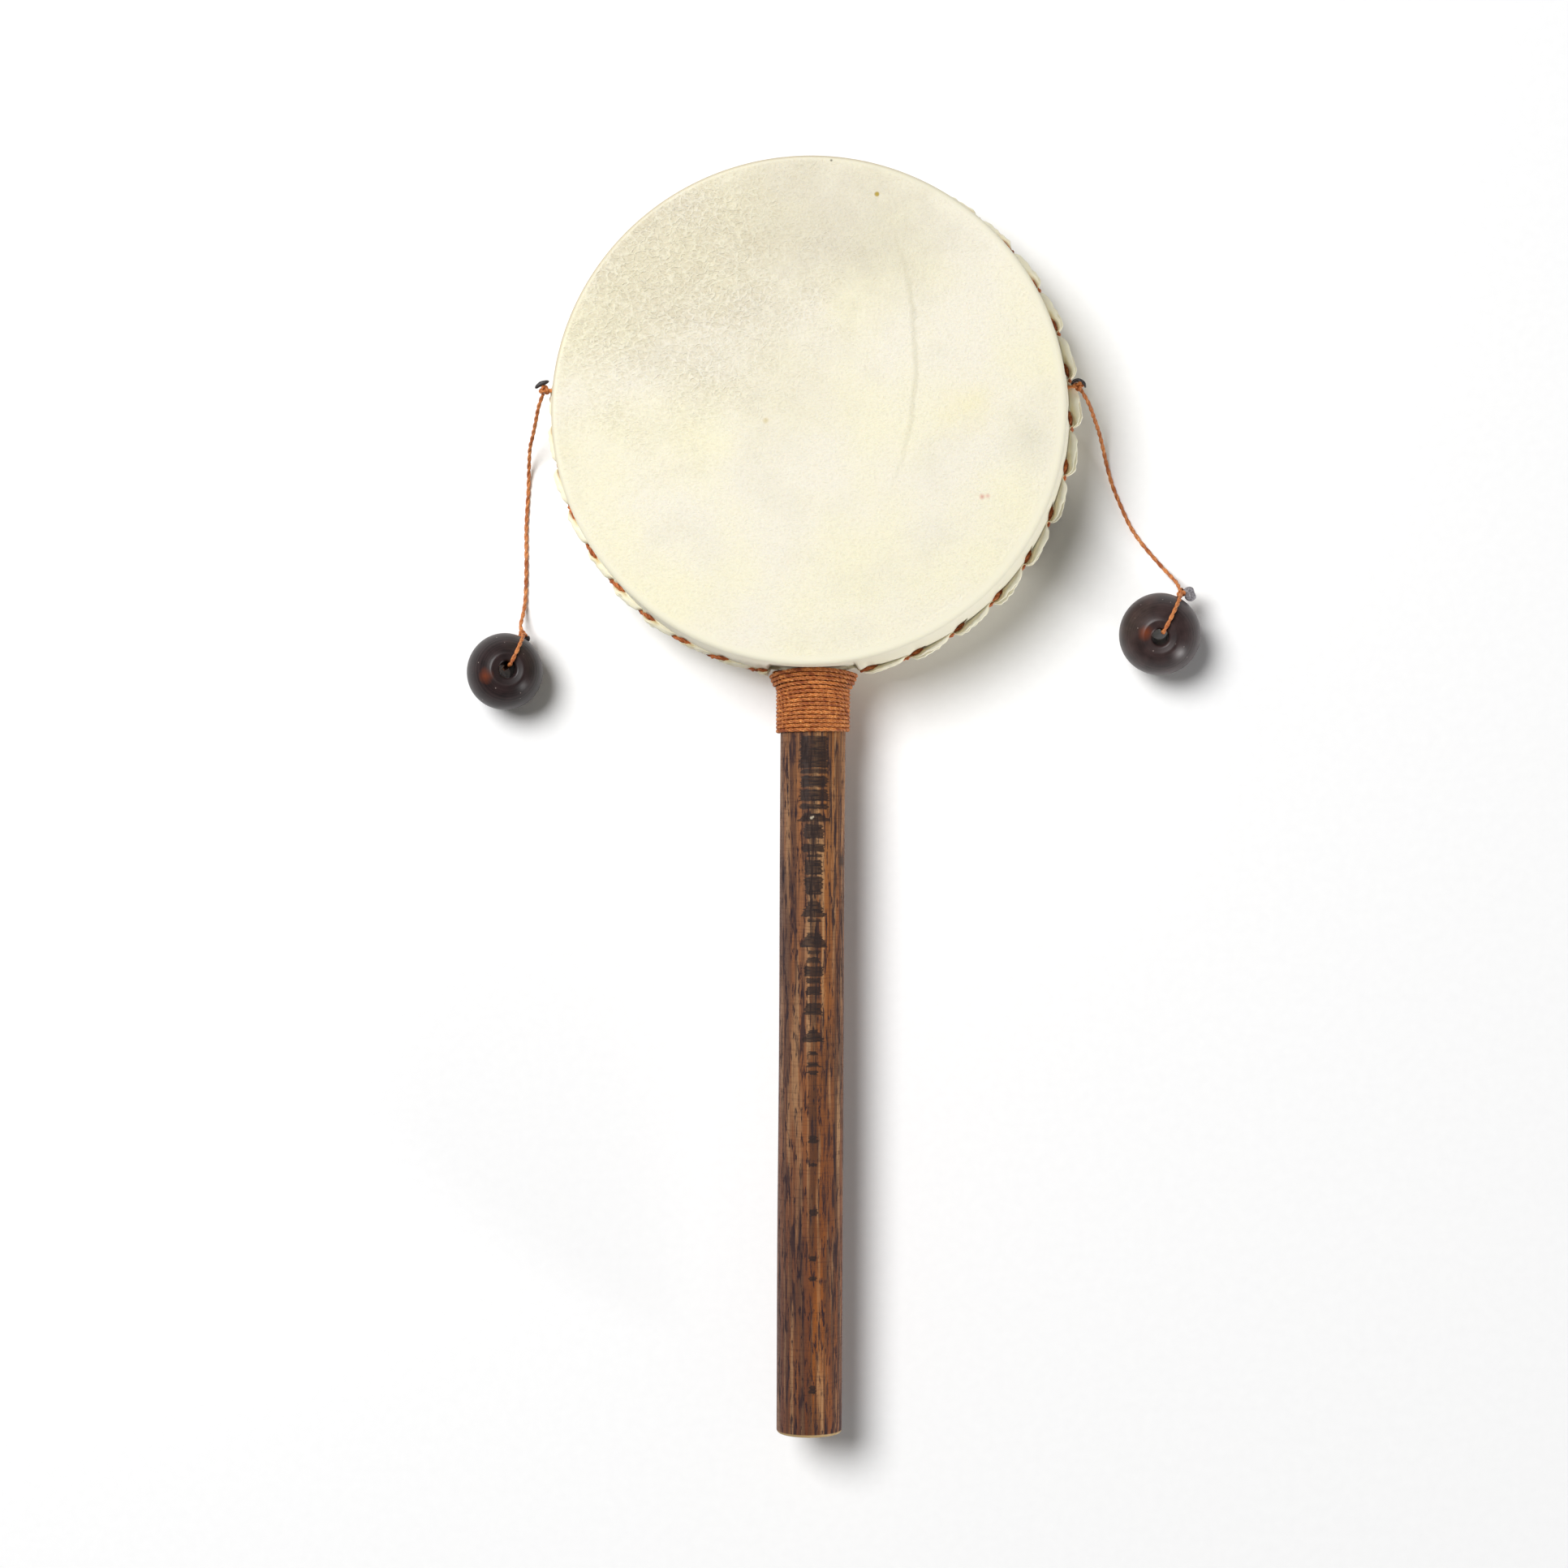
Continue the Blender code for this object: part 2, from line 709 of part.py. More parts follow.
def build_rim_knot(name, side, parts, cutters):
    """Build the knot at the rim, with the stub that goes into the drum's wall."""
    twisted_cord = finish(name + "_rim_cord", (0.45, 0.15, 0.05), 0.6)
    knot = rim_knot(side)
    inside = anchor_place(side, WALL_RADIUS + side["rim_knot_reach"] - ANCHOR_LENGTH)
    ball = ellipsoid(name + "_rim_knot", knot, parts, twisted_cord)
    stub = tube(name + "_stub", [inside, knot["centre"]], CORD_DIAMETER, 1, cutters)
    bpy.context.view_layer.update()
    cut(ball, hide_cutter(as_mesh(stub, cutters)), "UNION")


def main():
    """Build the pellet drum."""
    clear_scene()
    parts = new_collection("pellet_drum")
    cutters = new_collection("cutters")
    axis = bpy.data.objects.new("handle_axis", None)
    axis.location = (HANDLE_OFFSET, 0.0, SEAM_HEIGHT)
    axis.rotation_euler = (0.0, 0.0, HANDLE_LEAN)
    parts.objects.link(axis)

    stick_cutter = prism_cutter("stick_cutter", HANDLE_RADIUS + GAP, HEAD_RADIUS / 2,
                                WHIPPING_START + WHIPPING_LENGTH, STICK_STEPS, cutters)
    along_handle(stick_cutter, axis)
    collar_cutter = prism_cutter("collar_cutter", FLARE_RADIUS + GAP, WALL_RADIUS + GAP,
                                 WHIPPING_START + WHIPPING_LENGTH, STICK_STEPS, cutters)
    along_handle(collar_cutter, axis)
    sides = (("left", LEFT), ("right", RIGHT))
    anchor_cutters = [build_anchor_cutter(name, side, cutters) for name, side in sides]

    build_hoop(parts, stick_cutter, anchor_cutters)
    build_skins(parts, cutters, collar_cutter, stick_cutter, anchor_cutters)
    build_lacing(parts)
    build_handle(parts, axis)
    build_whipping(parts, axis)
    for name, side in sides:
        build_rim_knot(name, side, parts, cutters)
        build_pellet_cords(name, side, parts, cutters)
        build_pellet(name, side, parts)


main()
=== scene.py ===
"""Looks of a pellet drum: laced rawhide heads, a bound stick and two pellets on cords.

The drum lies on its back head, seen from above. Every piece is built here as a mesh in
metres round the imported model, and each finish is worked out from sizes in millimetres.
"""

import logging
import math
from dataclasses import dataclass
from enum import Enum
from typing import Any

import bmesh
import bpy
import numpy as np
from mathutils import Matrix, Vector


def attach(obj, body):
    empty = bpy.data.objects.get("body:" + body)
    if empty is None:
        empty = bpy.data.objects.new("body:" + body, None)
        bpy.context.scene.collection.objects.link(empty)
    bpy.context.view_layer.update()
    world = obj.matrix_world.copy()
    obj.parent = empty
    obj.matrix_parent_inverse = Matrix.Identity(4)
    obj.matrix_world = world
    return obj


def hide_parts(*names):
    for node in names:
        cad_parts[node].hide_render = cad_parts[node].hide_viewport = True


LOG = logging.getLogger("pellet_drum")
MM = 0.001
BODY = "root"
GAP = 0.3 * MM

Triple = tuple[float, float, float]
Socket = bpy.types.NodeSocket
Piece = bpy.types.Object

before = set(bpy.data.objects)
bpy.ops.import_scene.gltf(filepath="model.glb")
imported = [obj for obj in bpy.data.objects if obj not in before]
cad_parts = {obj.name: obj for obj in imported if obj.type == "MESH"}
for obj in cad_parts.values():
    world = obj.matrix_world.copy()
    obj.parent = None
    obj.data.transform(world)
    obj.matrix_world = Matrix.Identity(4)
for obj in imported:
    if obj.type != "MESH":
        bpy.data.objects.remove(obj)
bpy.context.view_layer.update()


def linear(code: str) -> tuple[float, float, float, float]:
    """Turn an sRGB hex colour to linear light.

    Args:
        code: The colour as #RRGGBB.

    Returns:
        The linear colour with an alpha of one.
    """
    parts = [int(code[i:i + 2], 16) / 255 for i in (1, 3, 5)]
    light = [c / 12.92 if c <= 0.04045 else ((c + 0.055) / 1.055) ** 2.4 for c in parts]
    return (light[0], light[1], light[2], 1.0)


def per_mm(size_mm: float) -> float:
    """Return the texture scale whose features are this many millimetres wide."""
    return 1.0 / (size_mm * MM)


def smooth(low: float, high: float, value: np.ndarray) -> np.ndarray:
    """Return the values eased from 0 at low to 1 at high."""
    share = np.clip((value - low) / (high - low), 0.0, 1.0)
    return share * share * (3.0 - 2.0 * share)


class Face(Enum):
    """One of the drum's two heads."""

    FRONT = "front"
    BACK = "back"


class Side(Enum):
    """The side of the drum that a pellet hangs from."""

    LEFT = "left"
    RIGHT = "right"


class Brush:
    """Adds the nodes of one material."""

    def __init__(self, name: str) -> None:
        """Start a material with a Principled shader.

        Args:
            name: The material's name.
        """
        self.material = bpy.data.materials.new(name)
        self.material.use_nodes = True
        self.tree = self.material.node_tree

    def join(self, item: bpy.types.Node, inputs: dict[int | str, Any]) -> None:
        """Set or link a node's inputs.

        Args:
            item: The node.
            inputs: A value or a socket for each input, by name or number.
        """
        for key, value in inputs.items():
            if isinstance(value, Socket):
                self.tree.links.new(value, item.inputs[key])
            else:
                item.inputs[key].default_value = value

    def add(
        self, kind: str, inputs: dict[int | str, Any], out: int | str = 0, **settings: Any
    ) -> Socket:
        """Add a node with its settings and links.

        Args:
            kind: The node's type, without its ShaderNode prefix.
            inputs: A value or a socket for each input, by name or number.
            out: The output to hand back, by name or number.
            settings: The node's own attributes.

        Returns:
            The asked output socket.
        """
        item = self.tree.nodes.new("ShaderNode" + kind)
        for key, value in settings.items():
            setattr(item, key, value)
        self.join(item, inputs)
        return item.outputs[out]

    def finish(self, inputs: dict[int | str, Any]) -> bpy.types.Material:
        """Give the shader its inputs and return the finished material."""
        self.join(self.tree.nodes["Principled BSDF"], inputs)
        return self.material


class Rope:
    """Gathers grids of points into one mesh."""

    def __init__(self) -> None:
        """Start with no points."""
        self.points: list[np.ndarray] = []
        self.faces: list[tuple[int, ...]] = []
        self.marks: list[np.ndarray] = []
        self.starts: list[int] = []
        self.count = 0

    def grid(self, rows: np.ndarray, mark: np.ndarray | None = None, capped: bool = True) -> None:
        """Add a surface of rings.

        Args:
            rows: The points, as rings by points by three.
            mark: Two numbers for each point, kept as its thread coordinates.
            capped: Whether the first and the last ring are closed by a fan.
        """
        rings, sides = rows.shape[:2]
        base = self.count
        if mark is None:
            mark = np.zeros((rings, sides, 2))
        self.starts.append(len(self.faces))
        self.points.append(rows.reshape(-1, 3))
        self.marks.append(mark.reshape(-1, 2))
        self.count += rings * sides
        for i in range(rings - 1 if capped else rings):
            low, high = base + i * sides, base + (i + 1) % rings * sides
            for j in range(sides):
                k = (j + 1) % sides
                self.faces.append((low + j, low + k, high + k, high + j))
        if not capped:
            return
        for ring, turn in ((0, -1), (rings - 1, 1)):
            self.points.append(rows[ring].mean(axis=0)[None])
            self.marks.append(mark[ring].mean(axis=0)[None])
            start = base + ring * sides
            for j in range(sides):
                pair = (start + j, start + (j + 1) % sides)
                self.faces.append((*pair[::turn], self.count))
            self.count += 1

    def build(self, name: str, marks: tuple[str, str] = ("run", "turn")) -> Piece:
        """Make the gathered mesh an object.

        Args:
            name: The object's name.
            marks: The names of the two numbers kept at each point.

        Returns:
            The new object, smooth shaded, with its faces pointing out.
        """
        data = bpy.data.meshes.new(name)
        data.from_pydata(np.concatenate(self.points).tolist(), [], self.faces)
        shape = bmesh.new()
        shape.from_mesh(data)
        bmesh.ops.recalc_face_normals(shape, faces=shape.faces)
        shape.faces.ensure_lookup_table()
        # A thin strand that bends far can be left inside out
        for start, end in zip(self.starts, [*self.starts[1:], len(self.faces)]):
            surface = shape.faces[start:end]
            middle = surface[0].calc_center_median()
            volume = sum((face.calc_center_median() - middle).dot(face.normal) * face.calc_area()
                         for face in surface) / 3
            if volume < 0.0:
                bmesh.ops.reverse_faces(shape, faces=surface)
        shape.to_mesh(data)
        shape.free()
        values = np.concatenate(self.marks)
        for index, mark in enumerate(marks):
            layer = data.attributes.new(mark, "FLOAT", "POINT")
            layer.data.foreach_set("value", values[:, index].astype(np.float32))
        data.shade_smooth()
        item = bpy.data.objects.new(name, data)
        bpy.context.scene.collection.objects.link(item)
        return item


def place_piece(item: Piece, material: bpy.types.Material, slot: str, *nodes: str) -> Piece:
    """Dress a piece, make it ride on the drum and stand for its solids.

    Args:
        item: The piece.
        material: Its finish.
        slot: A material slot's name, which is not used.
        nodes: The solids that it stands for.

    Returns:
        The same piece.
    """
    item.data.materials.append(material)
    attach(item, BODY)
    if nodes:
        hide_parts(*nodes)
    return item


def smooth_path(route: list, spacing: float, closed: bool = False) -> np.ndarray:
    """Read even points from a smooth curve through a route.

    Args:
        route: The points that the curve passes.
        spacing: The distance between the points read.
        closed: Whether the route is a ring.

    Returns:
        The points, one a row.
    """
    spots = np.array([tuple(place) for place in route], dtype=float)
    if closed:
        ring = np.concatenate([spots[-1:], spots, spots[:2]])
    else:
        ring = np.concatenate([[2 * spots[0] - spots[1]], spots, [2 * spots[-1] - spots[-2]]])
    share = (np.arange(24) / 24)[:, None]
    dense = []
    for i in range(1, len(ring) - 2):
        a, b, c, d = ring[i - 1:i + 3]
        dense.append(0.5 * (
            2 * b + (c - a) * share + (2 * a - 5 * b + 4 * c - d) * share ** 2
            + (3 * b - a - 3 * c + d) * share ** 3
        ))
    dense.append(ring[-2:-1])
    curve = np.concatenate(dense)
    run = np.concatenate([[0.0], np.cumsum(np.linalg.norm(np.diff(curve, axis=0), axis=1))])
    count = max(3, int(round(run[-1] / spacing)))
    wanted = np.linspace(0.0, run[-1], count + 1)
    if closed:
        wanted = wanted[:-1]
    return np.stack([np.interp(wanted, run, curve[:, k]) for k in range(3)], axis=1)


# How far out a strand lies and how thick it is, as shares of half the cord, by their number
STRAND_SHAPE = {2: (0.42, 0.62), 3: (0.50, 0.52)}


@dataclass(frozen=True)
class CordLay:
    """How a twisted cord is laid up from its strands."""

    diameter: float
    twist: float
    strands: int = 3
    sides: int = 7
    step: float = 0.32 * MM
    taper: float = 0.7
    flatness: float = 1.08

    def wind(self, rope: Rope, path: np.ndarray, closed: bool = False) -> None:
        """Wind the cord's strands along a path.

        Args:
            rope: The mesh that takes the strands.
            path: Even points along the cord's middle.
            closed: Whether the path is a ring.
        """
        ahead = np.gradient(path, axis=0)
        if closed:
            ahead = np.roll(path, -1, axis=0) - np.roll(path, 1, axis=0)
        ahead /= np.linalg.norm(ahead, axis=1)[:, None]
        side = np.zeros_like(path)
        start = np.cross(ahead[0], (0.12, 0.31, 0.94))
        side[0] = start / np.linalg.norm(start)
        for i in range(1, len(path)):
            carried = side[i - 1] - ahead[i] * side[i - 1].dot(ahead[i])
            side[i] = carried / np.linalg.norm(carried)
        other = np.cross(ahead, side)
        run = np.concatenate([[0.0], np.cumsum(np.linalg.norm(np.diff(path, axis=0), axis=1))])
        around = np.arange(self.sides) * math.tau / self.sides
        half = self.diameter / 2
        offset, thickness = STRAND_SHAPE[self.strands]
        for strand in range(self.strands):
            phase = math.tau * (run / self.twist + strand / self.strands)
            out = side * np.cos(phase)[:, None] + other * np.sin(phase)[:, None]
            middle = path + out * half * offset
            along = np.gradient(middle, axis=0)
            along /= np.linalg.norm(along, axis=1)[:, None]
            out = out - along * (out * along).sum(axis=1)[:, None]
            out /= np.linalg.norm(out, axis=1)[:, None]
            across = np.cross(along, out)
            swell = np.full(len(path), half * thickness)
            if not closed:
                swell[[0, -1]] *= self.taper
            ring = (
                out[:, None] * np.cos(around)[None, :, None]
                + across[:, None] * np.sin(around)[None, :, None] * self.flatness
            )
            rows = middle[:, None] + ring * swell[:, None, None]
            mark = np.empty(rows.shape[:2] + (2,))
            mark[..., 0] = run[:, None] / MM
            mark[..., 1] = strand + around[None, :] / math.tau
            rope.grid(rows, mark, capped=not closed)


@dataclass(frozen=True)
class WaxedCordFinish:
    """Waxed twisted thread, dyed tan.

    Its wax gives a dull gleam on each strand, and the dye is darker in patches and paler
    where the thread was rubbed.
    """

    name: str
    dark: str
    middle: str
    light: str

    def make(self) -> bpy.types.Material:
        """Make the material.

        Returns:
            The finish.
        """
        brush = Brush(self.name)
        run = brush.add("Attribute", {}, out="Fac", attribute_name="run")
        turn = brush.add("Attribute", {}, out="Fac", attribute_name="turn")
        thread = brush.add("CombineXYZ", {0: run, 1: turn})
        # Dye patches of about 3 mm, and fibres drawn 0.4 mm long, the shortest that shows
        patch = brush.add("TexNoise", {"Vector": thread, "Scale": 1 / 3.0, "Detail": 3.0})
        fibre = brush.add("TexNoise", {"Vector": thread, "Scale": 1 / 0.4, "Detail": 2.0})
        dyed = brush.add("MapRange", {0: patch, 1: 0.35, 2: 0.65})
        rubbed = brush.add("MapRange", {0: fibre, 1: 0.45, 2: 0.7})
        pale = brush.add("Math", {0: rubbed, 1: dyed}, operation="MULTIPLY")
        colour = linear(self.dark)
        for share, code in ((dyed, self.middle), (pale, self.light)):
            colour = brush.add("Mix", {0: share, 6: colour, 7: linear(code)}, 2, data_type="RGBA")
        bump = brush.add("Bump", {"Strength": 0.25, "Distance": 0.08 * MM, "Height": fibre})
        return brush.finish({
            "Base Color": colour, "Roughness": 0.55, "Specular IOR Level": 0.35, "Normal": bump,
        })


@dataclass(frozen=True)
class MeltedEndFinish:
    """Thread end melted over a flame to a hard bead, rough and nearly colourless."""

    name: str
    dark: str
    light: str
    grain_mm: float = 0.5

    def make(self) -> bpy.types.Material:
        """Make the material.

        Returns:
            The finish.
        """
        brush = Brush(self.name)
        place = brush.add("TexCoord", {}, out="Object")
        grain = brush.add("TexNoise", {
            "Vector": place, "Scale": per_mm(self.grain_mm), "Detail": 4.0,
        })
        share = brush.add("MapRange", {0: grain, 1: 0.38, 2: 0.64})
        colour = brush.add("Mix", {0: share, 6: linear(self.dark), 7: linear(self.light)}, 2,
                           data_type="RGBA")
        bump = brush.add("Bump", {"Strength": 0.7, "Distance": 0.15 * MM, "Height": grain})
        return brush.finish({"Base Color": colour, "Roughness": 0.48, "Normal": bump})


@dataclass(frozen=True)
class RawhideFinish:
    """Dry scraped rawhide, cream and slightly translucent.

    The grain keeps pebbles with pale creases between them and painted shade in their hollows,
    the scraped hide has cloudy grey and yellow patches, the frill is painted paler than the head
    as painted light, and painted ochre shade lies in its creases and beside the lace.
    """

    name: str
    face: Face
    clear: str = "#F3ECD9"
    warm: str = "#F5EED0"

    def make(self) -> bpy.types.Material:
        """Make the material.

        Returns:
            The finish.
        """
        brush = Brush(self.name)
        place = brush.add("TexCoord", {}, out="Object")
        cloud = brush.add("TexNoise", {"Vector": place, "Scale": per_mm(34), "Detail": 3.0})
        stain = brush.add("TexNoise", {"Vector": place, "Scale": per_mm(21), "Detail": 4.0,
                                       "Roughness": 0.6})
        yellow = brush.add("MapRange", {0: cloud, 1: 0.38, 2: 0.64})
        grey = brush.add("MapRange", {0: stain, 1: 0.5, 2: 0.75, 3: 0.0, 4: 0.3})
        # The smooth band over the hoop is 3 mm wide at the lower right and 1 mm at the upper left
        flat = brush.add("VectorMath", {0: place, 1: (1.0, 1.015, 0.0)}, operation="MULTIPLY")
        radius = brush.add("VectorMath", {0: flat}, "Value", operation="LENGTH")
        right = brush.add("VectorMath", {0: place, 1: (0.010, -0.010, 0.0)}, "Value",
                          operation="DOT_PRODUCT")
        reach = brush.add("Math", {0: radius, 1: right}, operation="ADD")
        band = brush.add("MapRange", {0: reach, 1: 72.4 * MM, 2: 73.8 * MM})
        inside = brush.add("MapRange", {0: reach, 1: 72.4 * MM, 2: 73.8 * MM, 3: 1.0, 4: 0.0})
        hollow_shade, height = self.grain(brush, place)
        # Painted shade: the pebbles' hollows are painted a darker tan inside the band, most at the
        # upper left
        pitted_shade = brush.add("Math", {0: hollow_shade, 1: inside}, operation="MULTIPLY")
        worn = brush.add("Math", {0: band, 1: 0.75}, operation="MULTIPLY")
        frill = brush.add("Attribute", {}, out="Fac", attribute_name="frill")
        crease_shade = brush.add("Attribute", {}, out="Fac", attribute_name="crease_shade")
        # Painted light: the frill is painted a paler cream than the head, standing in for light on
        # its shaded lobes
        edge = brush.add("MapRange", {0: frill, 1: 0.02, 2: 0.8, 3: 0.0, 4: 0.8})
        # Painted shade: ochre in the frill's creases and beside the lace
        ochre_shade = brush.add("MapRange", {0: crease_shade, 1: 0.2, 2: 1.0, 3: 0.0, 4: 0.75})
        layers = [(yellow, self.warm), (grey, "#DAD4C0")]
        if self.face is Face.FRONT:
            layers += self.marks(brush, place)
        # A brownish line follows the far left edge, where the hide turns down over the hoop
        rim = brush.add("MapRange", {0: radius, 1: 74.0 * MM, 2: 75.0 * MM, 3: 0.0, 4: 0.75})
        left = brush.add("VectorMath", {0: place, 1: (-0.6, 0.8, 0.0)}, "Value",
                         operation="DOT_PRODUCT")
        left = brush.add("MapRange", {0: left, 1: 12 * MM, 2: 55 * MM})
        line = brush.add("Math", {0: rim, 1: left}, operation="MULTIPLY")
        layers += [(pitted_shade, "#CBBFA2"), (worn, "#F1EBD3"), (line, "#A08A62"), (edge, "#FFF8DC"),
                   (ochre_shade, "#CBB57A")]
        colour = linear(self.clear)
        for share, code in layers:
            colour = brush.add("Mix", {0: share, 6: colour, 7: linear(code)}, 2, data_type="RGBA")
        relief = brush.add("Math", {0: height, 1: inside}, operation="MULTIPLY")
        bump = brush.add("Bump", {"Strength": 0.8, "Distance": 0.3 * MM, "Height": relief})
        return brush.finish({
            "Base Color": colour, "Roughness": 0.6, "Specular IOR Level": 0.3,
            "Subsurface Weight": 0.15, "Subsurface Radius": (2.0 * MM, 1.6 * MM, 1.0 * MM),
            "Subsurface Scale": 1.0, "Normal": bump,
        })

    def grain(
        self, brush: Brush, place: Socket
    ) -> tuple[Socket, Socket]:
        """Draw the hide's pebbles, coarse at the upper left and fine at the lower right.

        Args:
            brush: The material's brush.
            place: The socket that gives the place on the drum.

        Returns:
            The share of painted shade in the hollows, and the height of the pale creases between
            them.
        """
        far = brush.add("VectorMath", {0: place, 1: (-44 * MM, 42 * MM, 40 * MM)}, "Value",
                        operation="DISTANCE")
        patch = brush.add("TexNoise", {"Vector": place, "Scale": per_mm(13), "Detail": 2.0})
        far = brush.add("Math", {0: patch, 1: 60 * MM, 2: far}, operation="MULTIPLY_ADD")
        coarse = brush.add("MapRange", {0: far, 1: 48 * MM, 2: 92 * MM, 3: 1.0, 4: 0.0})
        wander = brush.add("TexNoise", {"Vector": place, "Scale": per_mm(3), "Detail": 4.0}, 1)
        moved = brush.add("VectorMath", {0: wander, 1: (3.4 * MM,) * 3}, operation="MULTIPLY")
        bent = brush.add("VectorMath", {0: place, 1: moved}, operation="ADD")
        hollow_shade = 0.0
        height = brush.add("TexNoise", {"Vector": place, "Scale": per_mm(0.8), "Detail": 3.0})
        # Pebbles 1.7 mm and 0.9 mm wide, drawn out towards the upper right: each size's crease,
        # as a share of its width, and its share of painted shade in the hollows at the lower right
        # and upper left
        for size, crease, low, high in ((1.7, 0.2, 0.0, 0.36), (0.9, 0.4, 0.13, 0.26)):
            drawn = brush.add("Mapping", {
                "Vector": bent, "Rotation": (0.0, 0.0, math.radians(-48)),
                "Scale": (0.55, 1.0, 1.0),
            })
            cell = brush.add("TexVoronoi", {"Vector": drawn, "Scale": per_mm(size)},
                             feature="DISTANCE_TO_EDGE")
            deep = brush.add("MapRange", {0: cell, 1: 0.0, 2: crease},
                             interpolation_type="SMOOTHSTEP")
            share = brush.add("MapRange", {0: coarse, 3: low, 4: high})
            part = brush.add("Math", {0: deep, 1: share}, operation="MULTIPLY")
            hollow_shade = brush.add("Math", {0: hollow_shade, 1: part}, operation="ADD")
            height = brush.add("Math", {0: part, 1: -1.6, 2: height}, operation="MULTIPLY_ADD")
        return hollow_shade, height

    def marks(
        self, brush: Brush, place: Socket
    ) -> list[tuple[Socket, str]]:
        """Find the stains, the flecks and the vein of the front head.

        Args:
            brush: The material's brush.
            place: The socket that gives the place on the drum.

        Returns:
            The share and the colour of each mark.
        """
        # Each mark's place from the head's centre, radius and softness in mm, strength and colour
        spots = (
            ((46.0, 1.0), 0.0, 13.0, 0.5, "#F6EAAE"),
            ((12.0, 30.0), 4.0, 8.0, 0.4, "#F3ECC6"),
            ((64.0, -9.0), 2.0, 10.0, 0.4, "#CDC9B3"),
            ((24.0, 50.0), 10.0, 20.0, 0.55, "#D2CBB8"),
            ((-2.0, 58.0), 14.0, 24.0, 0.6, "#D3CBB9"),
            ((-44.0, 42.0), 14.0, 26.0, 0.45, "#DED5BE"),
            ((-6.0, 8.0), 12.0, 18.0, 0.3, "#DFD7BE"),
            ((20.0, 62.3), 0.55, 0.35, 1.0, "#B49A3C"),
            ((6.8, 72.2), 0.28, 0.2, 1.0, "#2A241C"),
            ((-12.2, -3.0), 0.5, 0.8, 0.5, "#C9B268"),
            ((50.4, -25.4), 0.4, 0.8, 0.75, "#D9978A"),
            ((52.0, -25.2), 0.35, 0.7, 0.65, "#DFA497"),
        )
        found = []
        flat = brush.add("VectorMath", {0: place, 1: (1.0, 1.0, 0.0)}, operation="MULTIPLY")
        rough = brush.add("TexNoise", {"Vector": place, "Scale": per_mm(6), "Detail": 4.0})
        for (across, up), size, soft, strength, code in spots:
            far = brush.add("VectorMath", {0: flat, 1: (across * MM, up * MM, 0.0)}, 1,
                            operation="DISTANCE")
            ragged = brush.add("Math", {0: rough, 1: soft * MM, 2: far}, operation="MULTIPLY_ADD")
            share = brush.add("MapRange", {
                0: ragged, 1: size * MM, 2: (size + 1.6 * soft) * MM, 3: strength, 4: 0.0,
            }, interpolation_type="SMOOTHSTEP")
            found.append((share, code))
        # The vein bows to the right: x = 31.2 mm less 0.0048 for each square mm from y = 15 mm
        parts = brush.add("SeparateXYZ", {0: place}).node.outputs
        up = brush.add("Math", {0: parts[1], 1: -15.0 * MM}, operation="ADD")
        bow = brush.add("Math", {0: up, 1: up}, operation="MULTIPLY")
        line = brush.add("Math", {0: bow, 1: 4.8, 2: parts[0]}, operation="MULTIPLY_ADD")
        away = brush.add("Math", {0: rough, 1: 2.4 * MM, 2: line}, operation="MULTIPLY_ADD")
        away = brush.add("Math", {0: away, 1: -32.4 * MM}, operation="ADD")
        away = brush.add("Math", {0: away}, operation="ABSOLUTE")
        thin = brush.add("MapRange", {0: away, 1: 0.1 * MM, 2: 1.3 * MM, 3: 0.3, 4: 0.0},
                         interpolation_type="SMOOTHSTEP")
        ends = brush.add("Math", {0: up}, operation="ABSOLUTE")
        ends = brush.add("MapRange", {0: ends, 1: 14 * MM, 2: 42 * MM, 3: 1.0, 4: 0.0})
        found.append((brush.add("Math", {0: thin, 1: ends}, operation="MULTIPLY"), "#BDB79C"))
        return found


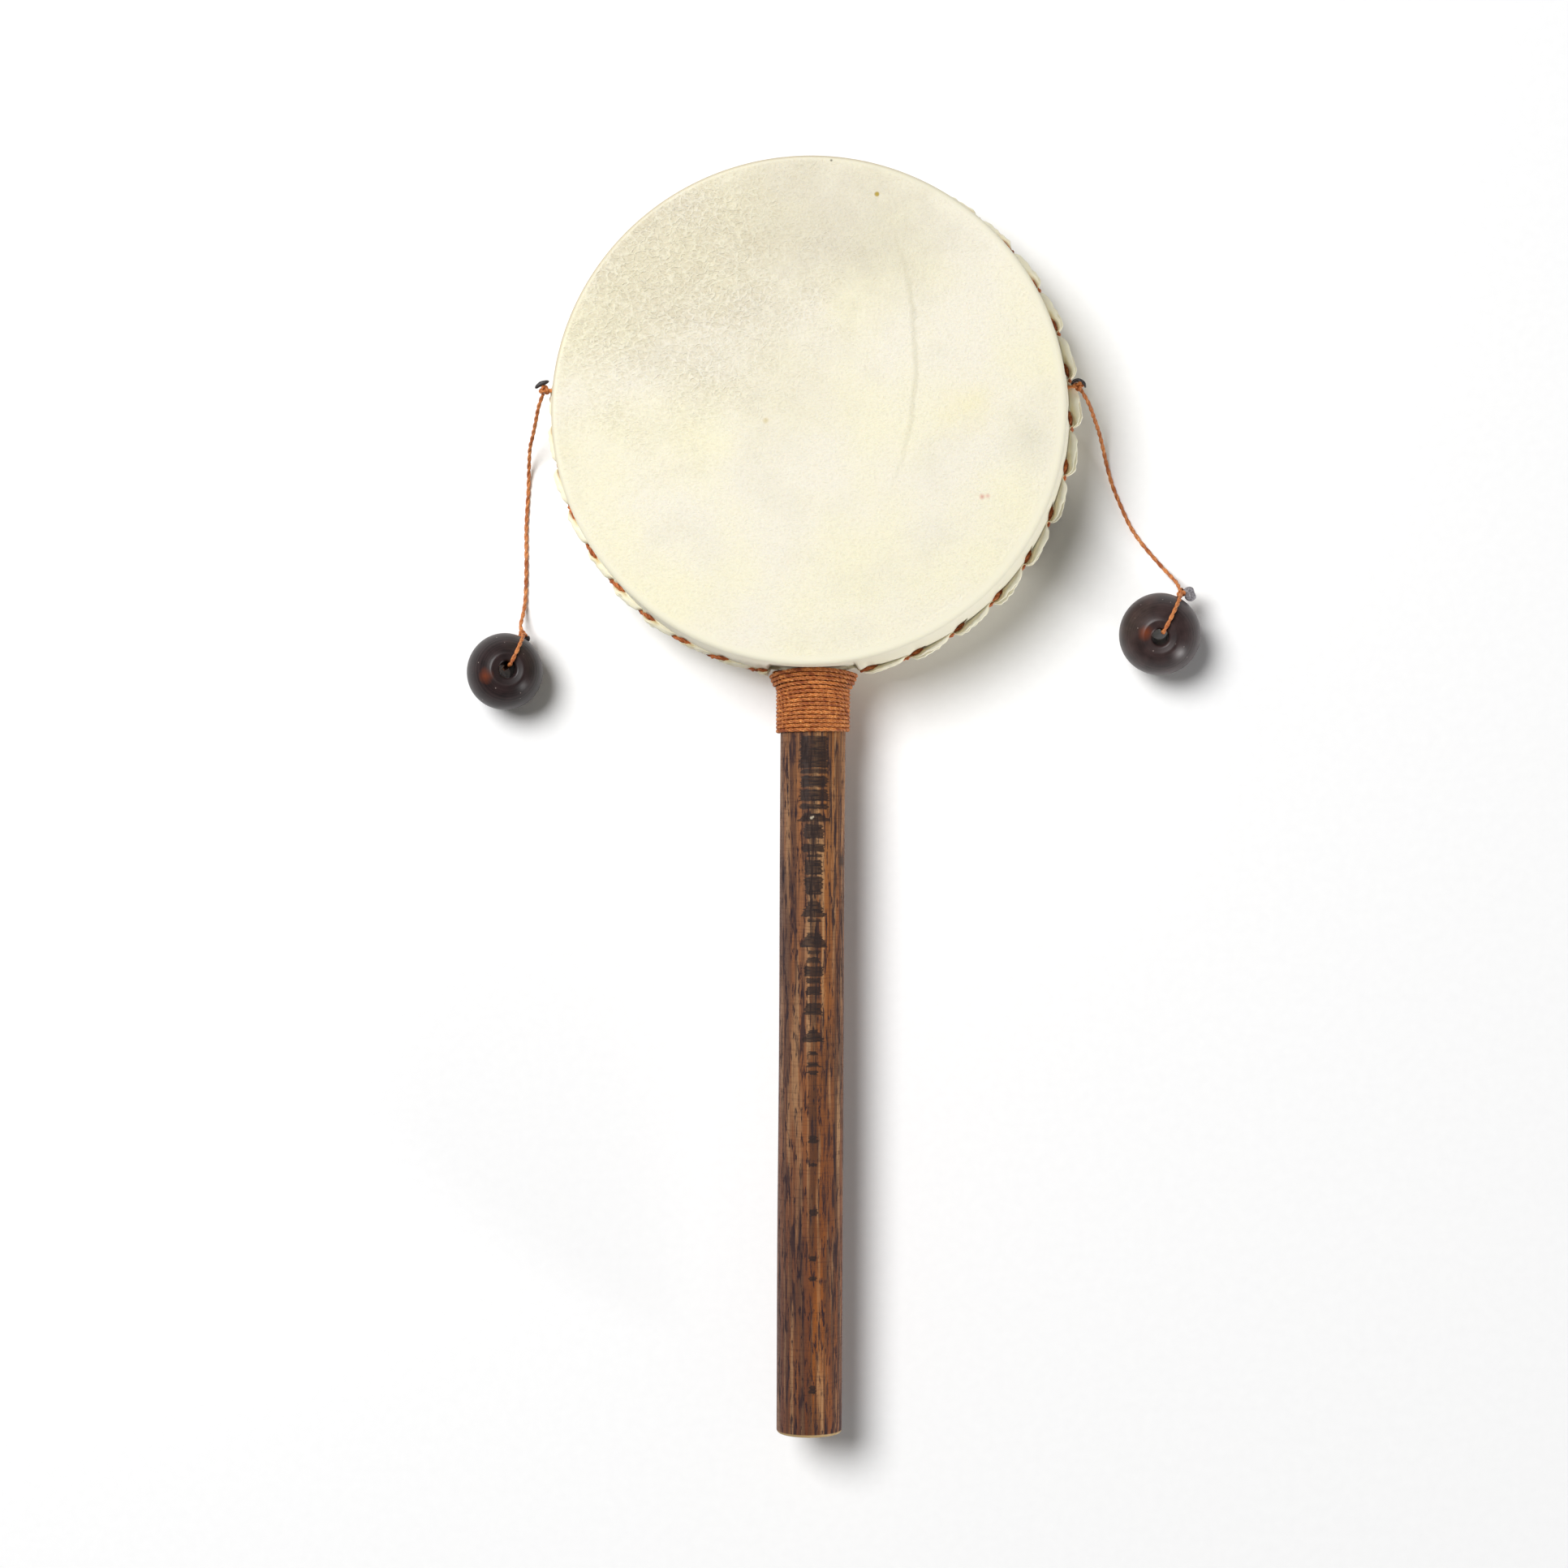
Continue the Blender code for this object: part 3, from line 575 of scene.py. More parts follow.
@dataclass(frozen=True)
class StainedStickFinish:
    """A turned hardwood stick, stained brown and rubbed with wax.

    The stain takes unevenly: pale and orange bands follow the grain between dark streaks
    and open pores, fine tool marks cross it, and the pith is a ragged ladder on the front.
    """

    name: str = "stained_hardwood"

    def make(self) -> bpy.types.Material:
        """Make the material.

        Returns:
            The finish.
        """
        brush = Brush(self.name)
        place = brush.add("TexCoord", {}, out="Object")
        parts = brush.add("SeparateXYZ", {0: place}).node.outputs
        down = brush.add("MapRange", {0: parts[1], 1: -90 * MM, 2: -300 * MM})
        base = brush.add("ValToRGB", {0: down})
        stops = base.node.color_ramp.elements
        stops[0].color = linear("#9C6C40")
        stops[1].color = linear("#6C3C24")
        for at, code in ((0.25, "#925F39"), (0.6, "#7C4A2B"), (0.85, "#6E3F26")):
            stops.new(at).color = linear(code)
        # Each layer: feature size in mm, its shrinking along X, Y and Z, where the noise
        # starts and ends to show, its strength and its colour
        bands = (
            (5.0, (1.0, 0.09, 1.0), 0.44, 0.66, 0.75, "#9A5A28"),
            (2.3, (1.0, 0.035, 1.0), 0.49, 0.60, 0.8, "#B2885F"),
            (1.7, (1.0, 0.030, 1.0), 0.47, 0.58, 0.8, "#523628"),
            (0.55, (0.06, 1.0, 0.06), 0.50, 0.68, 0.33, "#452C26"),
            (1.3, (1.0, 0.085, 1.0), 0.53, 0.61, 0.85, "#32262A"),
            (0.7, (1.0, 0.14, 1.0), 0.56, 0.63, 0.9, "#2A2027"),
        )
        layers, dents = [], 0.0
        for index, (size, shrink, low, high, strength, code) in enumerate(bands):
            drawn = brush.add("Mapping", {
                "Vector": place, "Location": (0.013 * index, 0.029 * index, 0.0), "Scale": shrink,
            })
            grain = brush.add("TexNoise", {"Vector": drawn, "Scale": per_mm(size), "Detail": 4.0,
                                           "Roughness": 0.6})
            share = brush.add("MapRange", {0: grain, 1: low, 2: high, 3: 0.0, 4: strength})
            layers.append((share, code))
            if index > 2:
                dents = brush.add("Math", {0: dents, 1: share}, operation="ADD")
        # Greyer and darker down the left side
        left = brush.add("MapRange", {0: parts[0], 1: 1 * MM, 2: -8 * MM, 3: 0.0, 4: 0.45})
        layers.insert(3, (left, "#5A443F"))
        knot = brush.add("VectorMath", {0: place, 1: (1.0, 0.6, 0.5)}, operation="MULTIPLY")
        knot = brush.add("VectorMath", {0: knot, 1: (9.6 * MM, -78.6 * MM, 12.0 * MM)}, 1,
                         operation="DISTANCE")
        knot = brush.add("MapRange", {0: knot, 1: 0.7 * MM, 2: 1.9 * MM, 3: 0.85, 4: 0.0})
        layers += [(knot, "#30231F"), (self.pith(brush, place), "#2E2422")]
        # Small chips in the pith's marks show the pale wood
        for across, along, size in ((0.5, 118.3, 0.42), (1.0, 118.0, 0.28), (3.6, 114.2, 0.24)):
            chip = brush.add("VectorMath", {0: place, 1: (across * MM, -along * MM, 29.5 * MM)}, 1,
                             operation="DISTANCE")
            chip = brush.add("MapRange", {0: chip, 1: 0.5 * size * MM, 2: 1.4 * size * MM, 3: 0.8,
                                          4: 0.0})
            layers.append((chip, "#CDBFA6"))
        # The bevel at the end was cut after staining
        end = brush.add("MapRange", {0: parts[1], 1: -299.0 * MM, 2: -299.35 * MM, 3: 0.0, 4: 0.9})
        layers.append((end, "#BFA273"))
        colour = base
        for share, code in layers:
            colour = brush.add("Mix", {0: share, 6: colour, 7: linear(code)}, 2, data_type="RGBA")
        rough = brush.add("MapRange", {0: dents, 3: 0.5, 4: 0.75})
        bump = brush.add("Bump", {"Strength": 0.45, "Distance": 0.12 * MM, "Height": dents},
                         invert=True)
        return brush.finish({
            "Base Color": colour, "Roughness": rough, "Specular IOR Level": 0.14, "Normal": bump,
        })

    def pith(self, brush: Brush, place: Socket) -> Socket:
        """Draw the dark marks where the pith shows.

        Args:
            brush: The material's brush.
            place: The socket that gives the place on the drum.

        Returns:
            The share of dark pith.
        """
        # From the neck down, in mm: where a mark starts and ends, and its half width at each
        marks = (
            (94.3, 103.7, 3.9, 4.3), (103.9, 105.4, 4.0, 4.0), (106.0, 109.3, 3.9, 3.9),
            (109.9, 113.5, 4.0, 4.2), (114.2, 115.8, 4.1, 4.1), (116.9, 119.4, 2.6, 4.7),
            (120.1, 124.4, 2.7, 3.0), (125.9, 128.3, 3.1, 3.3), (128.9, 129.9, 2.3, 2.3),
            (130.6, 135.0, 2.5, 2.7), (135.5, 140.9, 2.8, 2.4), (142.6, 147.4, 1.8, 3.5),
            (147.9, 148.9, 2.0, 2.0), (151.8, 156.3, 1.9, 4.0), (157.0, 158.4, 1.9, 1.9),
            (159.1, 160.9, 1.9, 2.1), (161.7, 164.8, 3.0, 2.7), (165.1, 166.9, 2.2, 2.2),
            (167.6, 170.2, 2.1, 2.2), (172.5, 176.1, 2.4, 2.6), (180.2, 184.0, 1.4, 3.2),
            (186.6, 187.9, 1.3, 1.5), (189.8, 191.3, 1.6, 2.0), (192.3, 193.6, 1.7, 1.4),
            (211.3, 213.7, 1.1, 1.5), (219.4, 220.4, 1.2, 1.2), (232.9, 235.0, 1.4, 1.0),
            (246.7, 248.2, 1.2, 1.2), (252.6, 254.0, 1.2, 1.2), (284.5, 287.0, 0.9, 1.2),
        )
        # Fibres across the stick fray each mark's sides; they are drawn 0.4 mm wide to show
        fray = brush.add("Mapping", {"Vector": place, "Scale": (0.13, 1.0, 0.13)})
        hair = brush.add("TexNoise", {"Vector": fray, "Scale": per_mm(0.55), "Detail": 2.0})
        shake = brush.add("TexNoise", {"Vector": place, "Scale": per_mm(1.3), "Detail": 3.0})
        parts = brush.add("SeparateXYZ", {0: place}).node.outputs
        along = brush.add("Math", {0: shake, 1: 0.9 * MM, 2: parts[1]}, operation="MULTIPLY_ADD")
        along = brush.add("Math", {0: along, 1: -0.45 * MM}, operation="ADD")
        # The pith lies 1.35 mm right of the middle and drifts 0.16 mm in each 100 mm
        middle = brush.add("Math", {0: parts[1], 1: -0.0016, 2: parts[0]},
                           operation="MULTIPLY_ADD")
        away = brush.add("Math", {0: middle, 1: -1.35 * MM}, operation="ADD")
        away = brush.add("Math", {0: away}, operation="ABSOLUTE")
        frayed = brush.add("Math", {0: hair, 1: -2.6 * MM, 2: away}, operation="MULTIPLY_ADD")
        frayed = brush.add("Math", {0: frayed, 1: 1.3 * MM}, operation="ADD")
        whole = -1.0
        for start, end, wide, wider in marks:
            width = brush.add("MapRange", {0: along, 1: -start * MM, 2: -end * MM, 3: wide * MM,
                                           4: wider * MM}, interpolation_type="SMOOTHSTEP")
            inside = brush.add("Math", {0: width, 1: frayed}, operation="SUBTRACT")
            above = brush.add("Math", {0: -start * MM, 1: along}, operation="SUBTRACT")
            below = brush.add("Math", {0: along, 1: end * MM}, operation="ADD")
            depth = brush.add("Math", {0: above, 1: inside, 2: 0.9 * MM}, operation="SMOOTH_MIN")
            depth = brush.add("Math", {0: depth, 1: below}, operation="MINIMUM")
            whole = brush.add("Math", {0: whole, 1: depth}, operation="MAXIMUM")
        solid = brush.add("MapRange", {0: whole, 1: -0.12 * MM, 2: 0.18 * MM})
        rung = brush.add("MapRange", {0: hair, 1: 0.36, 2: 0.56, 3: 1.0, 4: 0.84})
        mark = brush.add("Math", {0: solid, 1: rung}, operation="MULTIPLY")
        # A fainter spine joins the marks as far as the middle of the stick
        spine = brush.add("MapRange", {0: frayed, 1: 0.7 * MM, 2: 1.5 * MM, 3: 0.55, 4: 0.0})
        fade = brush.add("MapRange", {0: parts[1], 1: -150 * MM, 2: -225 * MM, 3: 1.0, 4: 0.0})
        spine = brush.add("Math", {0: spine, 1: fade}, operation="MULTIPLY")
        dark = brush.add("Math", {0: mark, 1: spine}, operation="MAXIMUM")
        front = brush.add("MapRange", {0: parts[2], 1: 20 * MM, 2: 24 * MM})
        return brush.add("Math", {0: dark, 1: front}, operation="MULTIPLY")


@dataclass(frozen=True)
class WaxedPelletFinish:
    """A turned hardwood ball, stained nearly black and waxed.

    The wax gives a soft grey gleam, the turning left fine rings round the bore, and small
    chips and one worn patch show the wood.
    """

    name: str
    centre: Triple
    axis: Triple
    worn_at: Triple
    dark: str
    light: str

    def make(self) -> bpy.types.Material:
        """Make the material.

        Returns:
            The finish.
        """
        brush = Brush(self.name)
        place = brush.add("TexCoord", {}, out="Object")
        local = brush.add("VectorMath", {0: place, 1: self.centre}, operation="SUBTRACT")
        height = brush.add("VectorMath", {0: local, 1: self.axis}, "Value",
                           operation="DOT_PRODUCT")
        mottle = brush.add("TexNoise", {"Vector": place, "Scale": per_mm(4), "Detail": 4.0})
        # Turning marks about 0.5 mm apart along the bore
        turned = brush.add("Math", {0: height, 1: per_mm(0.5)}, operation="MULTIPLY")
        fine = brush.add("TexNoise", {"W": turned, "Scale": 1.0, "Detail": 2.0},
                         noise_dimensions="1D")
        worn = brush.add("VectorMath", {0: local, 1: self.worn_at}, "Value", operation="DISTANCE")
        worn = brush.add("Math", {0: mottle, 1: 3.0 * MM, 2: worn}, operation="MULTIPLY_ADD")
        speck = brush.add("TexVoronoi", {"Vector": place, "Scale": per_mm(2.8)})
        layers = (
            (brush.add("MapRange", {0: mottle, 1: 0.35, 2: 0.68}), self.light),
            (brush.add("MapRange", {0: fine, 1: 0.3, 2: 0.7, 3: 0.0, 4: 0.3}), "#4C3B39"),
            (brush.add("MapRange", {0: worn, 1: 1.6 * MM, 2: 4.2 * MM, 3: 0.8, 4: 0.0}),
             "#7A3A1E"),
            (brush.add("MapRange", {0: speck, 1: 0.04, 2: 0.08, 3: 0.6, 4: 0.0}), "#B5A59C"),
        )
        colour = linear(self.dark)
        for share, code in layers:
            colour = brush.add("Mix", {0: share, 6: colour, 7: linear(code)}, 2, data_type="RGBA")
        bump = brush.add("Bump", {"Strength": 0.35, "Distance": 0.06 * MM, "Height": fine})
        return brush.finish({
            "Base Color": colour, "Roughness": 0.38, "Specular IOR Level": 0.3, "Normal": bump,
        })


@dataclass(frozen=True)
class BareHoopFinish:
    """Bent softwood, planed and left bare, with straight grain round the hoop."""

    name: str = "bare_hoop_wood"

    def make(self) -> bpy.types.Material:
        """Make the material.

        Returns:
            The finish.
        """
        brush = Brush(self.name)
        place = brush.add("TexCoord", {}, out="Object")
        drawn = brush.add("Mapping", {"Vector": place, "Scale": (0.1, 0.1, 1.0)})
        grain = brush.add("TexNoise", {"Vector": drawn, "Scale": per_mm(1.5), "Detail": 4.0})
        colour = brush.add("Mix", {0: grain, 6: linear("#8C6A44"), 7: linear("#C9A877")}, 2,
                           data_type="RGBA")
        return brush.finish({"Base Color": colour, "Roughness": 0.7})


@dataclass(frozen=True)
class StudioPaperFinish:
    """White background paper, quite matt, with a faint tooth."""

    name: str = "studio_paper"

    def make(self) -> bpy.types.Material:
        """Make the material.

        Returns:
            The finish.
        """
        brush = Brush(self.name)
        place = brush.add("TexCoord", {}, out="Object")
        tooth = brush.add("TexNoise", {"Vector": place, "Scale": per_mm(3), "Detail": 2.0})
        colour = brush.add("Mix", {0: tooth, 6: linear("#FAFAFA"), 7: linear("#FFFFFF")}, 2,
                           data_type="RGBA")
        return brush.finish({"Base Color": colour, "Roughness": 0.95})


@dataclass
class Seam:
    """The frill at half depth and the whip stitches that lace it."""

    head_radius: float = 75.0 * MM
    waist: float = 0.5 * MM
    height: float = 20.0 * MM
    skin: float = 0.8 * MM
    stitches: int = 34
    first: float = math.radians(-76.9)
    last: float = math.radians(258.9)
    easing: float = 0.086
    lean: float = 0.22
    notch: tuple[float, float] = (1.0 * MM, 1.35 * MM)
    wide_side: float = math.radians(-20.0)
    lace: float = 1.3 * MM
    hole: float = 1.9 * MM
    scatter: float = 0.25 * MM
    oval_top: float = 0.012
    oval_bottom: float = 0.002
    # How far the lobes reach past the wall, in mm, round the drum in degrees
    reach_at: tuple[float, ...] = (-90, -68, -48, -17, 0, 30, 42, 56, 75, 110, 165, 180, 195, 215,
                                   228, 244)
    reach_by: tuple[float, ...] = (3.2, 3.8, 4.5, 4.9, 5.6, 4.3, 3.9, 3.4, 2.9, 2.6, 2.7, 4.2, 4.1,
                                   3.2, 3.7, 2.7)

    @property
    def wall(self) -> float:
        """Return the wall's radius at the seam."""
        return self.head_radius - self.waist

    def stitch(self, index: float) -> float:
        """Return the angle of a stitch's middle."""
        share = index / (self.stitches - 1)
        return self.first + (self.last - self.first) * (share - self.easing * (share ** 2 - share))

    def notch_angle(self, index: int) -> float:
        """Return the angle where a stitch passes over the frill's edge."""
        pitch = (self.stitch(index + 1) - self.stitch(index - 1)) / 2
        return self.stitch(index) - self.lean * pitch

    def hole_angle(self, index: int) -> float:
        """Return the angle where a stitch passes through the frill."""
        return 2 * self.stitch(index) - self.notch_angle(index)

    def blend(self, sizes: tuple[float, float], angle: Any) -> Any:
        """Return a size at an angle, from the first at the left to the second at the right."""
        share = 0.5 + 0.5 * np.cos(angle - self.wide_side)
        return sizes[0] + (sizes[1] - sizes[0]) * share

    def reach(self, angle: Any) -> Any:
        """Return how far a lobe at an angle reaches past the wall."""
        return np.interp(np.degrees(angle), self.reach_at, self.reach_by, period=360.0) * MM

    def oval(self, angle: Any) -> Any:
        """Return how much nearer the seam lies at the drum's far and near sides."""
        deep = np.where(np.sin(angle) > 0.0, self.oval_top, self.oval_bottom)
        return 1.0 - deep * np.sin(angle) ** 2

    def over_edge(self, angle: float) -> float:
        """Return the radius of the lace's middle where it passes over the frill's edge."""
        return self.wall + self.blend(self.notch, angle) + GAP + self.lace / 2

    def through(self, index: int) -> float:
        """Return the radius of a stitch's hole, none quite like the next."""
        return self.wall + GAP + self.hole / 2 + self.scatter * math.sin(index * 2.3 + 0.6)

    def spot(self, radius: float, angle: float, rise: float) -> Triple:
        """Return the place at a radius, an angle and a rise above the seam."""
        radius = radius * float(self.oval(angle))
        return (radius * math.cos(angle), radius * math.sin(angle), self.height + rise)


class Shell:
    """Gathers the rings of a closed shell, from the middle of its top to its inside.

    A ring has a radius and a rise above the seam, one for all or one for each column, its
    place on the frill, from 0 at the wall to 1 at the edge, and 1 outside or 0 inside.
    """

    def __init__(self, columns: int) -> None:
        """Start with no rings of this many columns."""
        self.columns = columns
        self.rows: list[np.ndarray] = []

    def ring(self, radius: Any, rise: Any, frill: float = 0.0, outside: float = 1.0) -> None:
        """Add a ring."""
        full = np.ones(self.columns)
        self.rows.append(np.stack([value * full for value in (radius, rise, frill, outside)]))


@dataclass(frozen=True)
class Frill:
    """A frill's sizes at each column round the drum.

    They are the column's angle and its place in its lobe, the radius where the frill leaves
    the wall and that of its edge, its full hump, the height of its underside above the seam,
    and whether the handle takes its place.
    """

    angle: np.ndarray
    place: np.ndarray
    base: np.ndarray
    edge: np.ndarray
    hump: np.ndarray
    foot: np.ndarray
    at_handle: np.ndarray


@dataclass
class Skin:
    """One rawhide head with its wall and its half of the frill."""

    seam: Seam
    face: Face
    columns: int = 24
    head_rings: int = 56
    wall_rings: int = 15
    roll: float = 1.7 * MM
    dish: float = 0.35 * MM
    squash: float = 0.0145
    flare: tuple[float, float] = (0.1 * MM, 1.7 * MM)
    flare_side: float = math.radians(-48.0)
    hump: tuple[float, float] = (1.6 * MM, 2.7 * MM)
    slant: float = 0.44
    ragged: float = 0.55 * MM
    handle_clear: float = 9.9 * MM
    collar: float = 12.8 * MM
    collar_rim: float = 0.9 * MM
    neck_shift: float = 0.56 * MM

    def angles(self) -> tuple[np.ndarray, np.ndarray, np.ndarray]:
        """Spread columns round the drum, the same number in each lobe.

        Returns:
            The angle of each column, its place in its lobe from 0 to 1 and the lobe's number.
        """
        angles, places, lobes = [], [], []
        last = self.seam.stitches - 1
        for index in range(last):
            low, high = self.seam.notch_angle(index), self.seam.notch_angle(index + 1)
            share = np.arange(self.columns) / self.columns
            angles.append(low + (high - low) * share)
            places.append(share)
            lobes.append(np.full(self.columns, index))
        low, high = self.seam.notch_angle(last), self.seam.notch_angle(0) + math.tau
        share = np.arange(2 * self.columns) / (2 * self.columns)
        angles.append(low + (high - low) * share)
        places.append(np.minimum(2.4 * share, 0.6))
        lobes.append(np.full(2 * self.columns, last))
        return np.concatenate(angles), np.concatenate(places), np.concatenate(lobes)

    def near_lace(self, x: np.ndarray, y: np.ndarray) -> tuple[np.ndarray, np.ndarray]:
        """Measure how far places lie from the runs of lace on this side of the frill.

        Args:
            x: The places' x.
            y: The places' y.

        Returns:
            The distance to the nearest run, and where along it from 0 to 1.
        """
        seam = self.seam
        best = np.full(x.shape, 1.0)
        along = np.zeros(x.shape)
        for index in range(seam.stitches):
            hole = (seam.through(index), seam.hole_angle(index))
            edge = seam.notch_angle(index if self.face is Face.FRONT else index + 1)
            ax, ay, _ = seam.spot(seam.over_edge(edge), edge, 0.0)
            bx, by, _ = seam.spot(*hole, 0.0)
            run_x, run_y = bx - ax, by - ay
            share = ((x - ax) * run_x + (y - ay) * run_y) / (run_x ** 2 + run_y ** 2)
            share = np.clip(share, 0.0, 1.0)
            away = np.hypot(x - ax - share * run_x, y - ay - share * run_y)
            along = np.where(away < best, share, along)
            best = np.minimum(best, away)
        return best, along

    def outline(self, place: np.ndarray) -> np.ndarray:
        """Return a lobe's reach from 0 to 1 along it, fullest just past the stitch.

        Args:
            place: The place in the lobe, from one notch to the next.

        Returns:
            The share of the lobe's full reach.
        """
        # Places along the lobe, and how far it reaches there
        if self.face is Face.FRONT:
            stops = (0, 0.1, 0.22, 0.44, 0.65, 0.82, 0.93, 1)
            reach = (0, 0.6, 0.8, 0.74, 0.8, 0.72, 0.45, 0)
        else:
            stops = (0, 0.1, 0.22, 0.5, 0.8, 0.93, 1)
            reach = (0, 0.75, 1.0, 0.9, 0.66, 0.4, 0)
        blur = (-0.04, 0.0, 0.04)
        nearby = (np.interp(place + shift, stops, reach, period=1.0) for shift in blur)
        return sum(nearby) / 3.0 * smooth(0.0, 0.05, place) * smooth(1.0, 0.96, place)

    def lift(self, place: np.ndarray, share: np.ndarray) -> np.ndarray:
        """Return how far the skin humps up, as strands that slant across the frill.

        Args:
            place: The place in the lobe, from one notch to the next.
            share: The place from the wall to the edge.

        Returns:
            The height, as a share of the full hump.
        """
        slant = (place - self.slant * (1.0 - share)) % 1.0
        strand = 0.38 + 0.62 * np.sin(np.pi * slant ** 0.8) ** 0.8
        arch = np.sin(np.pi * (0.36 + 0.42 * share)) ** 0.9
        crease = 0.12 * smooth(0.5, 0.95, place) * np.exp(-((share - 0.12) / 0.12) ** 2)
        return np.maximum(strand * arch - crease, 0.04)

    def oval(self, angle: np.ndarray, level: float) -> np.ndarray:
        """Return how much nearer the skin lies along the handle at a level of the wall."""
        at_head = 1.0 - self.squash * np.sin(angle) ** 2
        return self.seam.oval(angle) * (1.0 - level) + at_head * level

    def source(self, seed: int) -> np.random.Generator:
        """Return a source of random numbers, with the next seed for the back head."""
        return np.random.default_rng(seed + (self.face is Face.BACK))

    def frill(self) -> Frill:
        """Work out the frill's sizes round the drum.

        Returns:
            The sizes at each column.
        """
        seam = self.seam
        angle, place, lobe = self.angles()
        rng = self.source(11)
        puff = rng.uniform(0.85, 1.15, seam.stitches)[lobe]
        full = rng.uniform(0.94, 1.03, seam.stitches)[lobe]
        side = np.abs(np.sin(angle + math.pi / 2) * seam.wall - self.neck_shift)
        at_handle = (np.cos(angle + math.pi / 2) > 0) & (side < self.collar)
        towards = 0.5 + 0.5 * np.cos(angle - self.flare_side)
        flare = (self.flare[0] + (self.flare[1] - self.flare[0]) * towards) * ~at_handle
        base = seam.wall + flare
        notch = seam.wall + seam.blend(seam.notch, angle)
        edge = notch + (seam.wall + seam.reach(angle) * full - notch) * self.outline(place)
        # Nine waves, 90 to 230 round the drum, make the edge ragged
        waves = 9
        ragged = sum(
            rng.uniform(0.4, 1.0) * np.sin(angle * count + rng.uniform(0.0, math.tau))
            for count in rng.integers(90, 230, waves)
        )
        edge = edge + ragged / waves * self.ragged * self.outline(place)
        edge = np.where(at_handle, base + self.collar_rim, np.maximum(edge, base + 0.25 * MM))
        hump = seam.blend(self.hump, angle) * puff * ~at_handle
        under_handle = np.sqrt(np.maximum(self.handle_clear ** 2 - side ** 2, 0.0))
        foot = np.where(at_handle, np.maximum(GAP / 2, under_handle), GAP / 2)
        return Frill(angle, place, base, edge, hump, foot, at_handle)

    def rings(self, at: Frill) -> Shell:
        """Lay out the shell's rings, before the lace presses them.

        Args:
            at: The frill's sizes.

        Returns:
            The shell.
        """
        seam, top = self.seam, self.seam.height
        angle, place, base, edge, foot = at.angle, at.place, at.base, at.edge, at.foot
        low = foot + seam.skin
        flat = seam.head_radius - self.roll
        head, around = self.oval(angle, 1.0), self.oval(angle, 0.0)
        shell = Shell(len(angle))
        # The head, its rolled edge and the wall
        for radius in np.linspace(0.9 * MM, flat, self.head_rings):
            sink = self.dish * (1.0 - float(smooth(flat - 3.0 * MM, flat - 0.4 * MM, radius)))
            shell.ring(radius * head, top - sink)
        for turn in np.radians(np.linspace(78, 0, 7)):
            shell.ring((flat + self.roll * math.cos(turn)) * head,
                       top - self.roll * (1.0 - math.sin(turn)))
        merge = low + at.hump * self.lift(place, np.zeros_like(place))
        for level in np.linspace(0.94, 0.0, self.wall_rings):
            rise = merge + (top - self.roll - merge) * level
            radius = seam.head_radius + (base - seam.head_radius) * (1.0 - level) ** 1.4
            shell.ring(radius * self.oval(angle, level), rise, 0.1 * (1.0 - level) ** 4)
        # The frill's outside, its edge and its underside
        for share in np.linspace(0.1, 1.0, 10):
            rise = low + at.hump * self.lift(place, np.full_like(place, share))
            shell.ring((base + (edge - base) * share) * around, rise, share)
        rim = at.hump * self.lift(place, np.ones_like(place))
        shell.ring((edge + 0.12 * MM) * around, low - 0.4 * seam.skin + rim * 0.55, 1.0)
        shell.ring(edge * around, foot + 0.2 * MM, 1.0)
        for share in (0.9, 0.55, 0.2):
            shell.ring((base + (edge - base) * share) * around, foot, 0.6, 0.0)
        # The inside of the wall, of the edge and of the head
        inner = seam.wall - seam.skin
        for level in (0.0, 0.5, 0.96):
            shell.ring((inner + seam.waist * level) * self.oval(angle, level),
                       foot + (top - self.roll - foot) * level, 0.0, 0.0)
        near = self.roll - seam.skin
        for turn in np.radians((15, 50, 85)):
            shell.ring((flat + near * math.cos(turn)) * head,
                       top - self.roll + near * math.sin(turn), 0.0, 0.0)
        for radius in (flat * 0.97, flat * 0.9, flat * 0.5, 1.0 * MM):
            shell.ring(radius * head, top - seam.skin - self.dish, 0.0, 0.0)
        return shell

    def build(self) -> Piece:
        """Build the skin as one closed shell.

        Returns:
            The skin.
        """
        seam, at = self.seam, self.frill()
        angle, place, low = at.angle, at.place, at.foot + seam.skin
        radius, rise, frill, outside = np.stack(self.rings(at).rows, axis=1)
        x, y = radius * np.cos(angle), radius * np.sin(angle)
        lace, along = self.near_lace(x, y)
        # The lace presses the hide down most in the middle of each run
        width = (0.06 + 0.88 * np.sin(np.pi * along) ** 2.4) * MM
        press = np.exp(-(lace / width) ** 2) * (frill > 0.0) * outside
        rise = rise - np.maximum(rise - low, 0.0) * press
        dip = self.unevenness(x, y) * outside
        rise = rise + dip * (frill <= 0.0) * (radius < seam.head_radius - 1.5 * MM)
        rise = rise + dip * 2.2 * smooth(0.3, 0.9, frill) * (rise > low + 0.4 * MM)
        rise = rise * (1.0 if self.face is Face.FRONT else -1.0)
        # Painted shade: ochre kept beside the lace and in the creases between the slanted strands
        crease_shade = np.exp(-(lace / (1.3 * MM)) ** 2) * smooth(0.04, 0.3, frill) * outside
        slant = (place - self.slant * (1.0 - frill)) % 1.0
        crease = np.exp(-(np.minimum(slant, 1.0 - slant) / 0.05) ** 2)
        crease = crease * smooth(0.05, 0.25, frill) * ~at.at_handle * outside * 0.8
        marks = np.stack([frill, np.maximum(crease_shade, crease)], axis=-1)
        rope = Rope()
        rope.grid(np.stack([x, y, seam.height + rise], axis=-1), marks)
        return rope.build(f"{self.face.value}_rawhide", ("frill", "crease_shade"))

    def dress(self) -> list[Piece]:
        """Build the skin, give it its hide and return it."""
        finish = RawhideFinish(f"{self.face.value}_hide", self.face)
        return [place_piece(self.build(), finish.make(), "rawhide", f"{self.face.value}_skin")]

